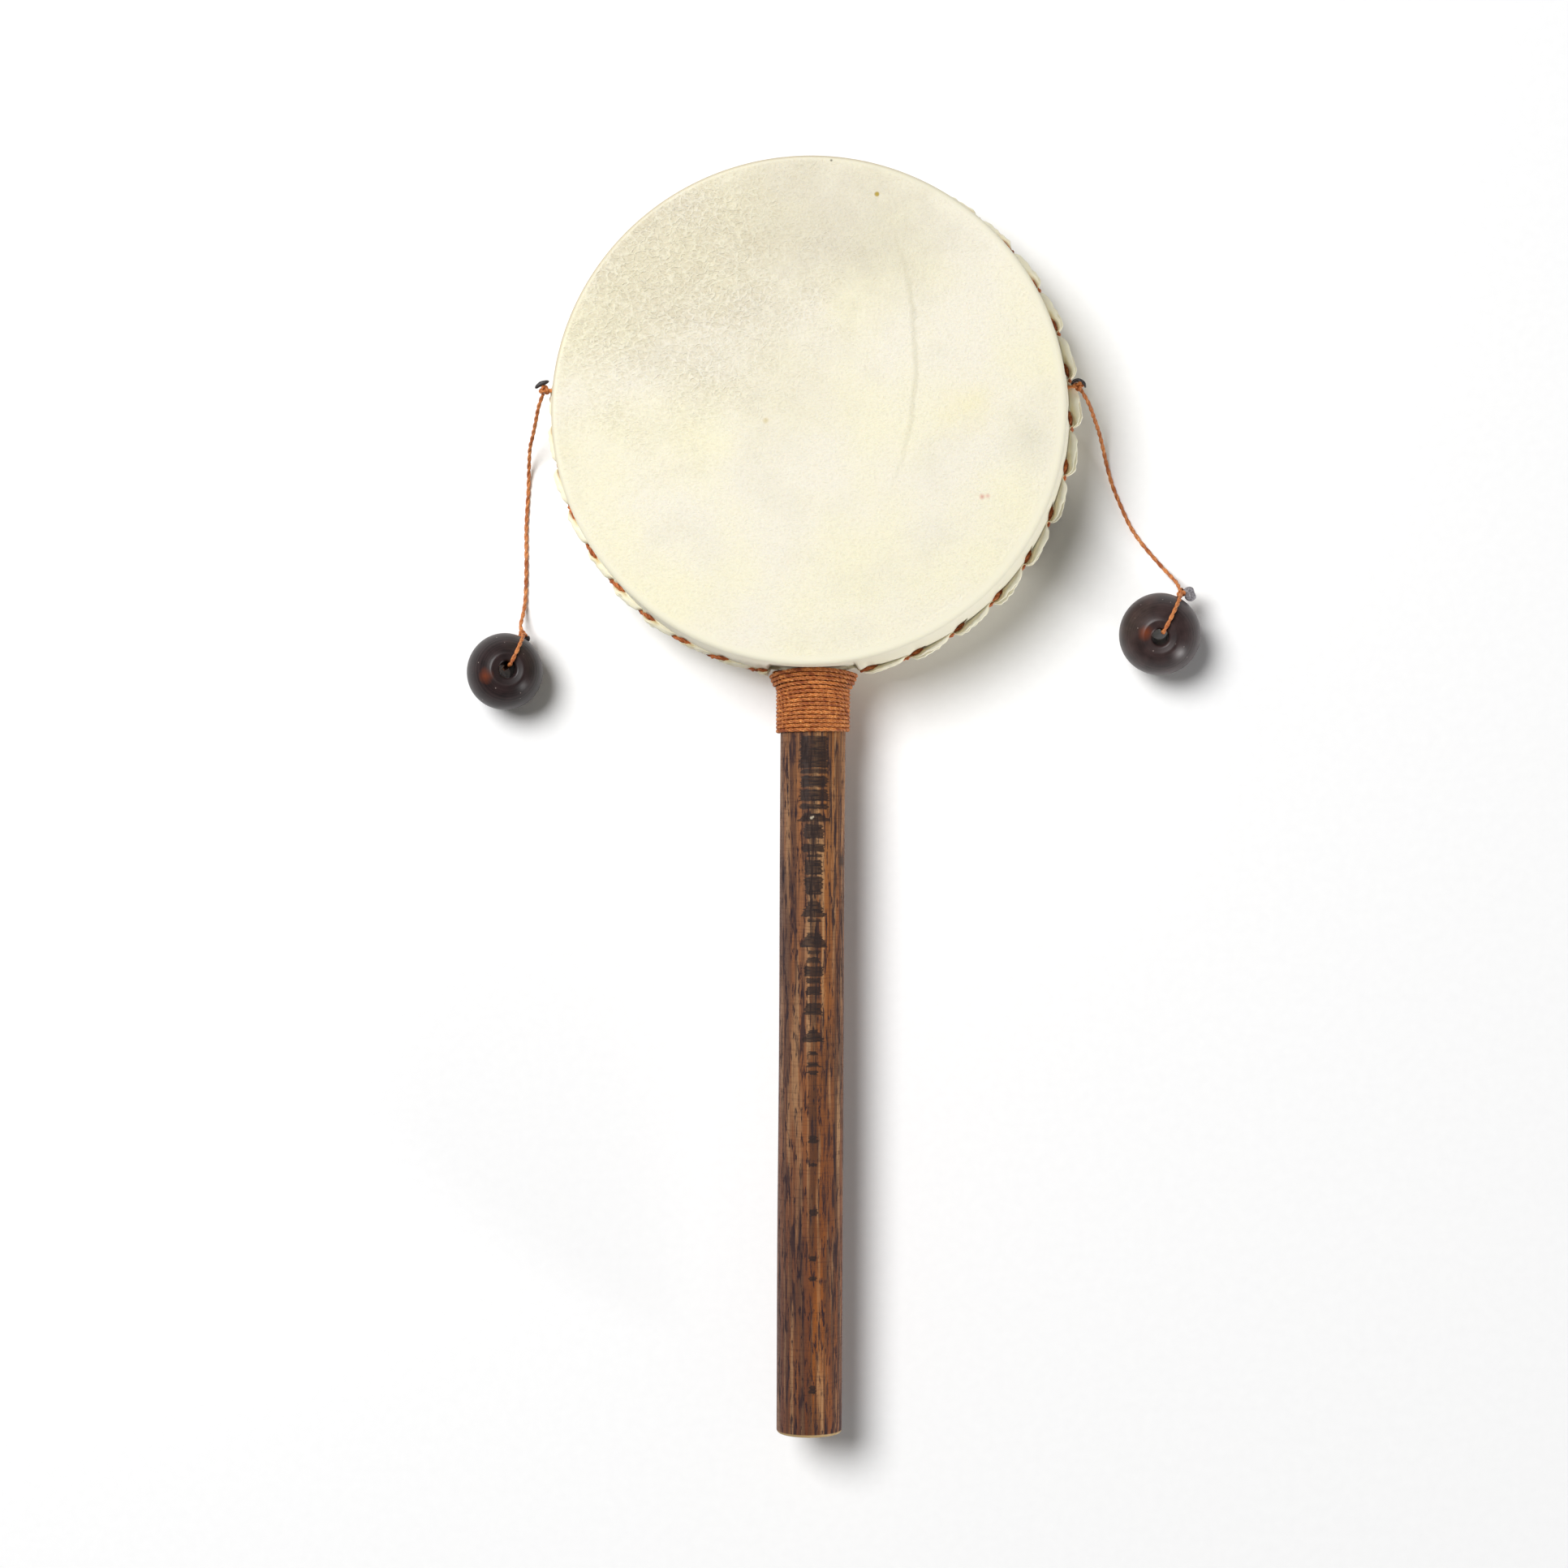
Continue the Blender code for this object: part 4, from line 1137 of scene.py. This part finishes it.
    def unevenness(self, x: np.ndarray, y: np.ndarray) -> np.ndarray:
        """Find the slight dips of a skin that dried under tension, never above its rim.

        Args:
            x: The places' x.
            y: The places' y.

        Returns:
            The height to add at each place.
        """
        rng = self.source(21)
        broad, fine = np.zeros_like(x), np.zeros_like(x)
        # Broad dips run every way, and fine ones mostly across the upper left
        for _ in range(14):
            turn, size = rng.uniform(0, math.tau), rng.uniform(9.0, 30.0) * MM
            shift = rng.uniform(0, math.tau)
            run = (x * math.cos(turn) + y * math.sin(turn)) * math.tau / size
            broad += np.sin(run + shift) * size
        for _ in range(26):
            turn, size = rng.normal(math.radians(125), 0.45), rng.uniform(3.2, 5.5) * MM
            shift = rng.uniform(0, math.tau)
            run = (x * math.cos(turn) + y * math.sin(turn)) * math.tau / size
            fine += np.sin(run + shift)
        far = np.abs(self.seam.head_radius - np.hypot(x, y))
        edge = smooth(0.0, 8 * MM, far) + (np.hypot(x, y) > self.seam.head_radius)
        upper_left = smooth(20 * MM, -60 * MM, x - 0.6 * y)
        broad = broad / np.abs(broad).max() * 0.12 * MM
        fine = fine / 26 * 0.16 * MM * (0.25 + upper_left)
        return np.minimum(broad + fine, self.dish * 0.7) * edge


@dataclass
class Lacing:
    """The one cord that laces the two halves of the frill."""

    seam: Seam
    lay: CordLay = CordLay(1.35 * MM, 4.2 * MM, strands=2)
    rise: float = 1.5 * MM
    collar: float = 12.6 * MM
    slack: float = 0.2 * MM

    def route(self) -> list[Triple]:
        """Find the corners of the stitches.

        Returns:
            The corners, from the right of the handle to its left.
        """
        seam = self.seam
        points = []
        for index in range(seam.stitches):
            notch, hole = seam.notch_angle(index), seam.hole_angle(index)
            shift = 0.02 * (seam.stitch(index + 1) - seam.stitch(index))
            outer, inner = seam.over_edge(notch), seam.through(index)
            if index > 0:
                points.append((outer, notch, 0.0))
            points.append((outer - self.slack, notch + shift, self.rise * 0.5))
            if index == seam.stitches - 1:
                end = 1.5 * math.pi - math.asin(self.collar / seam.wall)
                share = (end - notch) / (hole - notch)
                points.append((outer + (inner - outer) * share, end, self.rise))
                break
            middle = (notch + hole) / 2
            after = seam.notch_angle(index + 1)
            below = seam.over_edge(after)
            points += [
                ((outer + inner) / 2, middle, self.rise * 1.25),
                (inner + self.slack, hole - shift, self.rise * 0.5),
                (inner, hole, 0.0),
                (inner + self.slack, hole + shift, -self.rise * 0.5),
                ((inner + below) / 2, (hole + after) / 2, -self.rise * 1.25),
                (below - self.slack, after - shift, -self.rise * 0.5),
            ]
        return [seam.spot(*point) for point in points]

    def build(self) -> Piece:
        """Build the lace as twisted cord.

        Returns:
            The lace.
        """
        rope = Rope()
        self.lay.wind(rope, smooth_path(self.route(), self.lay.step))
        return rope.build("seam_lace")

    def dress(self) -> list[Piece]:
        """Build the lace, give it its waxed thread and return it."""
        finish = WaxedCordFinish("waxed_lace", "#964A22", "#CC6E38", "#E89A5C")
        return [place_piece(self.build(), finish.make(), "lacing_cord", "seam_lacing")]


@dataclass
class Handle:
    """The stick and the cord bound round its neck."""

    radius: float = 9.6 * MM
    reach: float = 300.0 * MM
    start: float = 61.4 * MM
    chamfer: float = 1.0 * MM
    lean: float = math.radians(-0.334)
    offset: float = 1.0 * MM
    height: float = 20.0 * MM
    whipping_start: float = 75.3 * MM
    whipping_length: float = 18.2 * MM
    turns: int = 16
    flare_turns: float = 4.0
    flare: float = 2.4 * MM
    bow: float = 1.9 * MM
    slack: float = 0.1 * MM
    first_turn: float = math.radians(200.0)
    lay: CordLay = CordLay(1.27 * MM, 5.4 * MM, sides=6, step=0.42 * MM)

    def to_world(self, points: np.ndarray) -> np.ndarray:
        """Turn points of the stick's own frame to the drum's.

        Args:
            points: The points, with Y running from the drum to the stick's end.

        Returns:
            The points in the drum's frame.
        """
        place = Matrix.Translation((self.offset, 0.0, self.height))
        turn = Matrix.Rotation(self.lean, 4, "Z")
        flip = Matrix.Diagonal((1.0, -1.0, 1.0, 1.0))
        full = np.array(place @ turn @ flip)
        return points @ full[:3, :3].T + full[:3, 3]

    def build_stick(self) -> Piece:
        """Build the stick, very slightly out of true.

        Returns:
            The stick.
        """
        rows, sides = 150, 72
        around = np.arange(sides) * math.tau / sides
        along = np.linspace(self.start, self.reach - self.chamfer, rows)
        radius = np.full(rows, self.radius)
        steps = np.radians(np.linspace(15, 90, 6))
        along = np.concatenate([along, self.reach - self.chamfer * (1 - np.sin(steps))])
        radius = np.concatenate([radius, self.radius - self.chamfer * (1 - np.cos(steps))])
        radius = np.concatenate([radius, radius[-1:] * 0.6, radius[-1:] * 0.2])
        along = np.concatenate([along, along[-1:], along[-1:]])
        turn, far = np.meshgrid(around, along)
        wobble = 0.006 * np.sin(2 * turn + far * 31.0) + 0.004 * np.sin(3 * turn - far * 57.0)
        across = radius[:, None] * (1.0 + wobble)
        points = np.stack([across * np.cos(turn), far, across * np.sin(turn)], axis=-1)
        rope = Rope()
        rope.grid(self.to_world(points))
        return rope.build("turned_stick")

    def build_whipping(self) -> Piece:
        """Build the bound cord, its first turns flared over the skins' gathered edge.

        Returns:
            The binding.
        """
        pitch = self.whipping_length / self.turns
        count = int(self.turns * math.tau * self.radius * 1.1 / self.lay.step)
        turn = np.linspace(0.0, self.turns - 1.0, count)
        radius = self.radius + self.slack + self.lay.diameter / 2
        radius = radius + self.flare * np.maximum(0.0, 1.0 - turn / self.flare_turns) ** 0.6
        phase = turn * math.tau + self.first_turn
        along = self.whipping_start + (turn + 0.5) * pitch
        lift = self.bow * np.abs(np.sin(phase)) ** 1.5 * (1.0 - turn / self.turns)
        points = np.stack([radius * np.cos(phase), along - lift, radius * np.sin(phase)], axis=-1)
        path = self.to_world(points)
        rope = Rope()
        self.lay.wind(rope, smooth_path(path[::3].tolist(), self.lay.step))
        return rope.build("neck_binding")

    def dress(self) -> list[Piece]:
        """Build the stick and its binding and give them their finishes.

        Returns:
            The stick and the binding.
        """
        binding = WaxedCordFinish("waxed_binding", "#8A4420", "#C67233", "#F2B26E")
        return [
            place_piece(self.build_stick(), StainedStickFinish().make(), "handle_wood", "handle"),
            place_piece(self.build_whipping(), binding.make(), "whipping_cord", "neck_whipping"),
        ]


@dataclass(frozen=True)
class Hoop:
    """The bent wooden hoop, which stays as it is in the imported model."""

    node: str = "hoop"

    def dress(self) -> list[Piece]:
        """Give the hoop its bare wood.

        Returns:
            The hoop.
        """
        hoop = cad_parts[self.node]
        hoop.data.materials.clear()
        hoop.data.materials.append(BareHoopFinish().make())
        return [hoop]


@dataclass
class Pellet:
    """A wooden ball with its loop, its knots and the cord that it swings on."""

    side: Side
    diameter: float
    place: tuple[float, float]
    lean: float
    lean_towards: float
    knot_towards: float
    knot_drop: float
    knot_size: Triple
    melt_size: Triple
    melt_shift: Triple
    melt_turn: float
    rim_angle: float
    rim_reach: float
    rim_size: Triple
    tail: tuple[Triple, ...]
    tail_thickness: float
    route: tuple[Triple, ...]
    worn: float
    wood: tuple[str, str]
    melted: tuple[str, str]
    seam: Seam
    bore: float = 5.0 * MM
    chamfer: float = 0.3 * MM
    flat: float = 10.0 * MM
    rim_rise: float = 4.0 * MM
    ball_rings: int = 46
    lay: CordLay = CordLay(1.2 * MM, 5.4 * MM, strands=2)
    knot_lay: CordLay = CordLay(1.1 * MM, 4.0 * MM, strands=2, sides=6, step=0.28 * MM)

    def axes(self) -> tuple[Vector, Vector]:
        """Find the pellet's own directions.

        Returns:
            The direction of the bore, and that of the knot, square to it.
        """
        hinge = Vector((-math.sin(self.lean_towards), math.cos(self.lean_towards), 0.0))
        up = Matrix.Rotation(self.lean, 3, hinge) @ Vector((0.0, 0.0, 1.0))
        out = Vector((math.cos(self.knot_towards), math.sin(self.knot_towards), 0.0))
        return up, (out - up * out.dot(up)).normalized()

    @property
    def half(self) -> float:
        """Return the height of a flat end above the equator."""
        return math.sqrt((self.diameter / 2) ** 2 - (self.flat / 2) ** 2)

    def spot(self, radius: float, turn: float) -> Vector:
        """Return a place at a radius and a turn above the equator, from the centre."""
        up, out = self.axes()
        return out * (radius * math.cos(turn)) + up * (radius * math.sin(turn))

    def loop(self) -> list[Vector]:
        """Find the loop's route through the bore.

        Returns:
            The points of the route, from the pellet's centre.
        """
        up, out = self.axes()
        clear = GAP + self.lay.diameter / 2
        around = self.diameter / 2 + clear
        shoulder, leave = math.radians(60.0), math.radians(16.0)
        lip = (self.bore + self.chamfer) / 2
        over = [
            out * (lip - clear * math.cos(turn)) + up * (self.half + clear * math.sin(turn))
            for turn in (math.radians(85.0), math.radians(45.0), math.radians(5.0))
        ]
        below = [point - 2 * up * point.dot(up) for point in reversed(over)]
        drop = self.knot_drop
        high, deep = shoulder - drop - leave, drop - leave + shoulder
        top = [self.spot(around, drop + leave + high * k / 4) for k in range(5)]
        under = [self.spot(around, deep * k / 4 - shoulder) for k in range(5)]
        knot = self.knot_centre()
        return [knot, *top, *over, out * (lip - clear), *below, *under, knot]

    def knot_centre(self) -> Vector:
        """Return the centre of the knot beside the pellet, from the pellet's centre."""
        return self.spot(self.diameter / 2 + GAP + self.knot_size[0] / 2, self.knot_drop)

    @property
    def centre(self) -> Vector:
        """Return the pellet's centre, with its loop lying on the floor beneath it."""
        lowest = min(point.z for point in self.loop())
        return Vector((*self.place, self.lay.diameter / 2 + GAP / 3 - lowest))

    def rim_knot(self) -> Vector:
        """Return the centre of the knot at the drum's rim."""
        reach = self.seam.wall + self.rim_reach
        return Vector(self.seam.spot(reach, self.rim_angle, self.rim_rise))

    def build_ball(self) -> Piece:
        """Build the turned ball with its bore.

        Returns:
            The ball.
        """
        radius, bore = self.diameter / 2, self.bore / 2
        edge = math.asin(self.half / radius)
        profile = [
            (radius * math.cos(turn), radius * math.sin(turn))
            for turn in np.linspace(edge - 0.02, -edge + 0.02, self.ball_rings)
        ]
        profile += [
            (self.flat / 2 - 0.25 * MM, -self.half - 0.02 * MM),
            (self.flat / 2 - 0.6 * MM, -self.half + 0.12 * MM),
            (bore + 2.5 * self.chamfer, -self.half + 0.1 * MM),
            (bore + self.chamfer, self.chamfer * 0.8 - self.half),
            (bore, 2.5 * self.chamfer - self.half),
        ]
        profile += [(bore, height) for height in np.linspace(-0.6, 0.6, 5) * self.half]
        lip = profile[self.ball_rings:self.ball_rings + 5]
        profile += [(across, -height) for across, height in reversed(lip)]
        sides = 96
        around = np.arange(sides) * math.tau / sides
        across = np.array([point[0] for point in profile])[:, None]
        height = np.array([point[1] for point in profile])[:, None] * np.ones(sides)
        uneven = 1.0 + 0.006 * np.sin(2 * around + 1.0) + 0.004 * np.sin(3 * around)
        local = np.stack(
            [across * uneven * np.cos(around), across * uneven * np.sin(around), height], axis=-1
        )
        up, out = self.axes()
        turn = np.array([tuple(out), tuple(up.cross(out)), tuple(up)])
        rope = Rope()
        rope.grid(local @ turn + np.array(tuple(self.centre)), capped=False)
        return rope.build(f"{self.side.value}_turned_ball")

    def overhand(self, centre: Vector, size: Triple, turn: float) -> np.ndarray:
        """Return the path of an overhand knot drawn to a size.

        Args:
            centre: The knot's centre.
            size: Its size along, across and up.
            turn: Its turn round the upright.

        Returns:
            The knot's path as a ring.
        """
        t = np.linspace(0.0, math.tau, 60, endpoint=False)
        shape = np.stack([
            (np.sin(t) + 2 * np.sin(2 * t)) / 3.0,
            (np.cos(t) - 2 * np.cos(2 * t)) / 3.0,
            -np.sin(3 * t),
        ], axis=1)
        room = np.array(size) / 2 - np.array([0.5, 0.5, 0.52]) * MM
        spin = np.array(Matrix.Rotation(turn, 3, "Z"))
        return (shape * room) @ spin.T + np.array(tuple(centre))

    def build_knot(
        self, name: str, centre: Vector, size: Triple, turn: float,
        stub: list[Vector] | None = None,
    ) -> Piece:
        """Build a knot of twisted cord.

        Args:
            name: The piece's name.
            centre: The knot's centre.
            size: Its size along, across and up.
            turn: Its turn round the upright.
            stub: The route of the cord's end, where it has one.

        Returns:
            The knot.
        """
        rope, lay = Rope(), self.knot_lay
        knot = self.overhand(centre, size, turn).tolist()
        lay.wind(rope, smooth_path(knot, lay.step, closed=True), closed=True)
        if stub:
            self.lay.wind(rope, smooth_path(stub, self.lay.step))
        return rope.build(name)

    def build_run(self, name: str, path: np.ndarray) -> Piece:
        """Build a run of the cord.

        Args:
            name: The piece's name.
            path: Even points along its middle.

        Returns:
            The run of cord.
        """
        rope = Rope()
        self.lay.wind(rope, path)
        return rope.build(name)

    def build_melt(
        self, name: str, route: list[Vector], size: tuple[float, float], seed: int
    ) -> Piece:
        """Build a burnt or melted end of cord.

        Args:
            name: The piece's name.
            route: The points that its middle follows.
            size: Its thickness across and up.
            seed: The seed of its unevenness.

        Returns:
            The melted end.
        """
        rng = np.random.default_rng(seed)
        path = smooth_path(route, 0.16 * MM)
        ahead = np.gradient(path, axis=0)
        ahead /= np.linalg.norm(ahead, axis=1)[:, None]
        side = np.cross(ahead, (0.0, 0.0, 1.0))
        up = np.cross(side, ahead)
        sides = 20
        around = np.arange(sides) * math.tau / sides
        share = np.linspace(-0.98, 0.98, len(path))[:, None]
        swell = np.sqrt(1.0 - np.abs(share) ** 3.0)
        way = np.stack(
            [share * 2 + 0 * around, np.cos(around) + 0 * share, np.sin(around) + 0 * share], -1
        )
        bulge = np.ones(swell.shape)
        for _ in range(9):
            run = way @ rng.normal(size=3) * 2.6
            bulge = bulge + 0.035 * np.sin(run + rng.uniform(0, math.tau))
        thick = (swell * bulge * 0.5)[..., None]
        ring = (side[:, None] * np.cos(around)[None, :, None] * size[0]
                + up[:, None] * np.sin(around)[None, :, None] * size[1])
        rope = Rope()
        rope.grid(path[:, None] + ring * thick)
        return rope.build(name)

    def cord_path(self) -> np.ndarray:
        """Find the cord's way from the knot at the rim to the knot beside the pellet.

        Returns:
            Even points along the cord's middle.
        """
        start, end = self.rim_knot(), self.centre + self.knot_centre()
        path = smooth_path([start, *self.route, end], 0.1 * MM)
        keep = np.linalg.norm(path - np.array(tuple(start)), axis=1) > 1.2 * MM
        keep &= np.linalg.norm(path - np.array(tuple(end)), axis=1) > 1.1 * MM
        return smooth_path(path[keep][::8].tolist(), self.lay.step)

    def dress(self) -> list[Piece]:
        """Build everything on this side and give it its finishes.

        Returns:
            The pieces.
        """
        name = self.side.value
        cord = WaxedCordFinish(f"{name}_waxed_cord", "#A3562A", "#D58245", "#F0B478").make()
        burnt = MeltedEndFinish(f"{name}_burnt_tail_end", "#1C181A", "#4A4446").make()
        melted = MeltedEndFinish(f"{name}_melted_bead_end", *self.melted).make()
        up, _ = self.axes()
        worn = Matrix.Rotation(self.worn, 3, "Z") @ Vector((4.6 * MM, 0.0, self.half))
        wood = WaxedPelletFinish(
            f"{name}_waxed_ball", tuple(self.centre), tuple(up), tuple(worn), *self.wood
        ).make()

        knot, rim = self.centre + self.knot_centre(), self.rim_knot()
        loop = smooth_path([self.centre + point for point in self.loop()], self.lay.step)
        inside = self.seam.wall - 2.0 * MM
        into = Vector(self.seam.spot(inside, self.rim_angle, self.rim_rise))
        stub = [into, (rim + into) / 2, rim]
        length, across, height = self.melt_size
        half = Matrix.Rotation(self.melt_turn, 3, "Z") @ Vector((length / 2, 0.0, 0.0))
        blob = knot + Vector(self.melt_shift)
        tail = [rim + Vector(point) for point in self.tail]
        thick = self.tail_thickness

        ball = place_piece(self.build_ball(), wood, "pellet_wood", f"{name}_pellet")
        # Each piece that goes with the cord, its finish and the solid that it stands for
        pieces = (
            (self.build_run(f"{name}_loop", loop), cord, [f"{name}_bead_loop"]),
            (self.build_knot(f"{name}_pellet_knot", knot, self.knot_size, self.knot_towards),
             cord, [f"{name}_bead_knot"]),
            (self.build_melt(f"{name}_melted_end", [blob - half, blob, blob + half],
                             (across, height), 5), melted, []),
            (self.build_knot(f"{name}_rim_tie", rim, self.rim_size, self.rim_angle, stub),
             cord, [f"{name}_rim_knot"]),
            (self.build_melt(f"{name}_burnt_tail", tail, (thick, thick), 9), burnt, []),
        )
        on_cord = [place_piece(item, look, "pellet_cord", *nodes) for item, look, nodes in pieces]
        path = self.cord_path()
        piece = self.build_run(f"{name}_swing_cord", path)
        place_piece(piece, cord, "pellet_cord", f"{name}_cord")
        return [ball, *on_cord, piece]


@dataclass(frozen=True)
class Studio:
    """The floor, the lights and the camera."""

    camera_place: Triple = (50.1 * MM, -108.4 * MM, 1000.0 * MM)
    camera_target: Triple = (-9.3 * MM, -108.4 * MM, 0.0)
    lens: float = 76.2
    film: float = 36.0
    lit_spot: Triple = (0.0, -0.05, 0.0)
    fill: float = 0.13
    paper: float = 6.0
    paper_drop: float = 0.02 * MM

    def aim(self, item: Piece, target: Triple) -> None:
        """Point an object at a place, with the drum's far side up in its view.

        Args:
            item: The camera or light.
            target: The place that it looks at.
        """
        back = (item.location - Vector(target)).normalized()
        right = Vector((0.0, 1.0, 0.0)).cross(back).normalized()
        item.rotation_euler = Matrix((right, back.cross(right), back)).transposed().to_euler()

    def build(self) -> None:
        """Build the studio."""
        scene = bpy.context.scene
        lens = bpy.data.cameras.new("camera")
        lens.lens = self.lens
        lens.sensor_width = self.film
        camera = bpy.data.objects.new("camera", lens)
        scene.collection.objects.link(camera)
        camera.location = self.camera_place
        self.aim(camera, self.camera_target)
        scene.camera = camera

        # Each light's place and width in metres and its power in watts
        for name, place, size, power in (
            ("key", (-0.66, 0.50, 1.70), 1.0, 38.5),
            ("reflector", (1.05, -0.95, 0.16), 0.3, 9.6),
        ):
            data = bpy.data.lights.new(name, "AREA")
            data.shape = "DISK"
            data.size = size
            data.energy = power
            light = bpy.data.objects.new(name, data)
            scene.collection.objects.link(light)
            light.location = place
            self.aim(light, self.lit_spot)

        world = bpy.data.worlds.new("soft_white")
        scene.world = world
        world.use_nodes = True
        sky = world.node_tree.nodes["Background"]
        sky.inputs["Color"].default_value = (1.0, 1.0, 1.0, 1.0)
        sky.inputs["Strength"].default_value = self.fill
        scene.view_settings.view_transform = "Standard"

        bpy.ops.mesh.primitive_plane_add(size=self.paper, location=(0.0, 0.0, -self.paper_drop))
        floor = bpy.context.object
        floor.name = "studio_floor"
        floor.data.materials.append(StudioPaperFinish().make())


def pellets(seam: Seam) -> list[Pellet]:
    """Size and place both pellets.

    Args:
        seam: The seam that their cords are tied to.

    Returns:
        The left pellet and the right one.
    """
    left = Pellet(
        side=Side.LEFT, seam=seam, diameter=22.9 * MM, place=(-92.4 * MM, -74.7 * MM),
        lean=math.radians(13.0), lean_towards=math.radians(8.0),
        knot_towards=math.radians(63.0), knot_drop=math.radians(-13.0),
        knot_size=(2.6 * MM, 3.4 * MM, 2.6 * MM), melt_size=(1.8 * MM, 1.8 * MM, 1.4 * MM),
        melt_shift=(1.3 * MM, -1.2 * MM, 0.0), melt_turn=0.0, rim_angle=math.radians(174.1),
        rim_reach=4.8 * MM, rim_size=(3.6 * MM, 3.0 * MM, 2.6 * MM),
        tail=(
            (-2.7 * MM, 0.5 * MM, 0.2 * MM), (-1.2 * MM, 1.7 * MM, 0.5 * MM),
            (1.4 * MM, 2.6 * MM, 0.4 * MM),
        ),
        tail_thickness=1.4 * MM, worn=math.radians(200.0),
        wood=("#171112", "#2C1F20"), melted=("#2A2426", "#5C5456"),
        route=(
            (-0.0812, 0.0038, 0.0195), (-0.0829, -0.0008, 0.0145), (-0.0843, -0.0044, 0.0105),
            (-0.0855, -0.0072, 0.0070), (-0.0863, -0.0117, 0.0032), (-0.0867, -0.0164, 0.0012),
            (-0.0869, -0.0205, 0.00065), (-0.0872, -0.0250, 0.00065), (-0.0875, -0.0310, 0.00065),
            (-0.0875, -0.0370, 0.00065), (-0.0875, -0.0433, 0.00065), (-0.0876, -0.0490, 0.00075),
            (-0.0878, -0.0535, 0.00120), (-0.0882, -0.0575, 0.0030), (-0.0885, -0.0607, 0.0056),
        ),
    )
    right = Pellet(
        side=Side.RIGHT, seam=seam, diameter=24.2 * MM, place=(102.9 * MM, -64.0 * MM),
        lean=math.radians(8.0), lean_towards=math.radians(-104.0),
        knot_towards=math.radians(62.4), knot_drop=math.radians(-12.0),
        knot_size=(3.0 * MM, 2.8 * MM, 2.8 * MM), melt_size=(4.4 * MM, 3.2 * MM, 2.4 * MM),
        melt_shift=(2.5 * MM, -0.4 * MM, -0.2 * MM), melt_turn=math.radians(-64.0),
        rim_angle=math.radians(6.0), rim_reach=4.5 * MM,
        rim_size=(3.8 * MM, 3.0 * MM, 2.6 * MM),
        tail=(
            (-2.1 * MM, 0.3 * MM, 0.3 * MM), (-1.3 * MM, 1.4 * MM, 0.5 * MM),
            (0.1 * MM, 1.6 * MM, 0.6 * MM), (1.5 * MM, 0.8 * MM, 0.5 * MM),
            (2.1 * MM, -0.6 * MM, 0.3 * MM),
        ),
        tail_thickness=1.1 * MM, worn=math.radians(180.0),
        # The right ball's colours are lighter than the left's: partly its own wood and partly
        # painted grey sheen
        wood=("#241A1A", "#3E2F2E"), melted=("#666265", "#99959A"),
        route=(
            (0.0816, 0.0038, 0.0193), (0.0837, -0.0007, 0.0135), (0.0850, -0.0038, 0.0095),
            (0.0861, -0.0071, 0.0060), (0.0873, -0.0117, 0.0026), (0.0884, -0.0157, 0.0010),
            (0.0896, -0.0195, 0.00065), (0.0917, -0.0247, 0.00065), (0.0946, -0.0310, 0.00065),
            (0.0976, -0.0356, 0.00065), (0.1010, -0.0398, 0.00080), (0.1040, -0.0433, 0.0014),
            (0.1066, -0.0463, 0.0034), (0.1084, -0.0487, 0.0061),
        ),
    )
    return [left, right]


def main() -> None:
    """Build the drum's pieces in order and report each."""
    logging.basicConfig(level=logging.INFO, format="%(name)s: %(message)s")
    Studio().build()
    seam = Seam()
    skins = [Skin(seam, face) for face in Face]
    parts = [*pellets(seam), *skins, Lacing(seam), Handle(), Hoop()]
    for part in parts:
        for piece in part.dress():
            LOG.info("%s: %d faces", piece.name, len(piece.data.polygons))


if __name__ == "__main__":
    main()
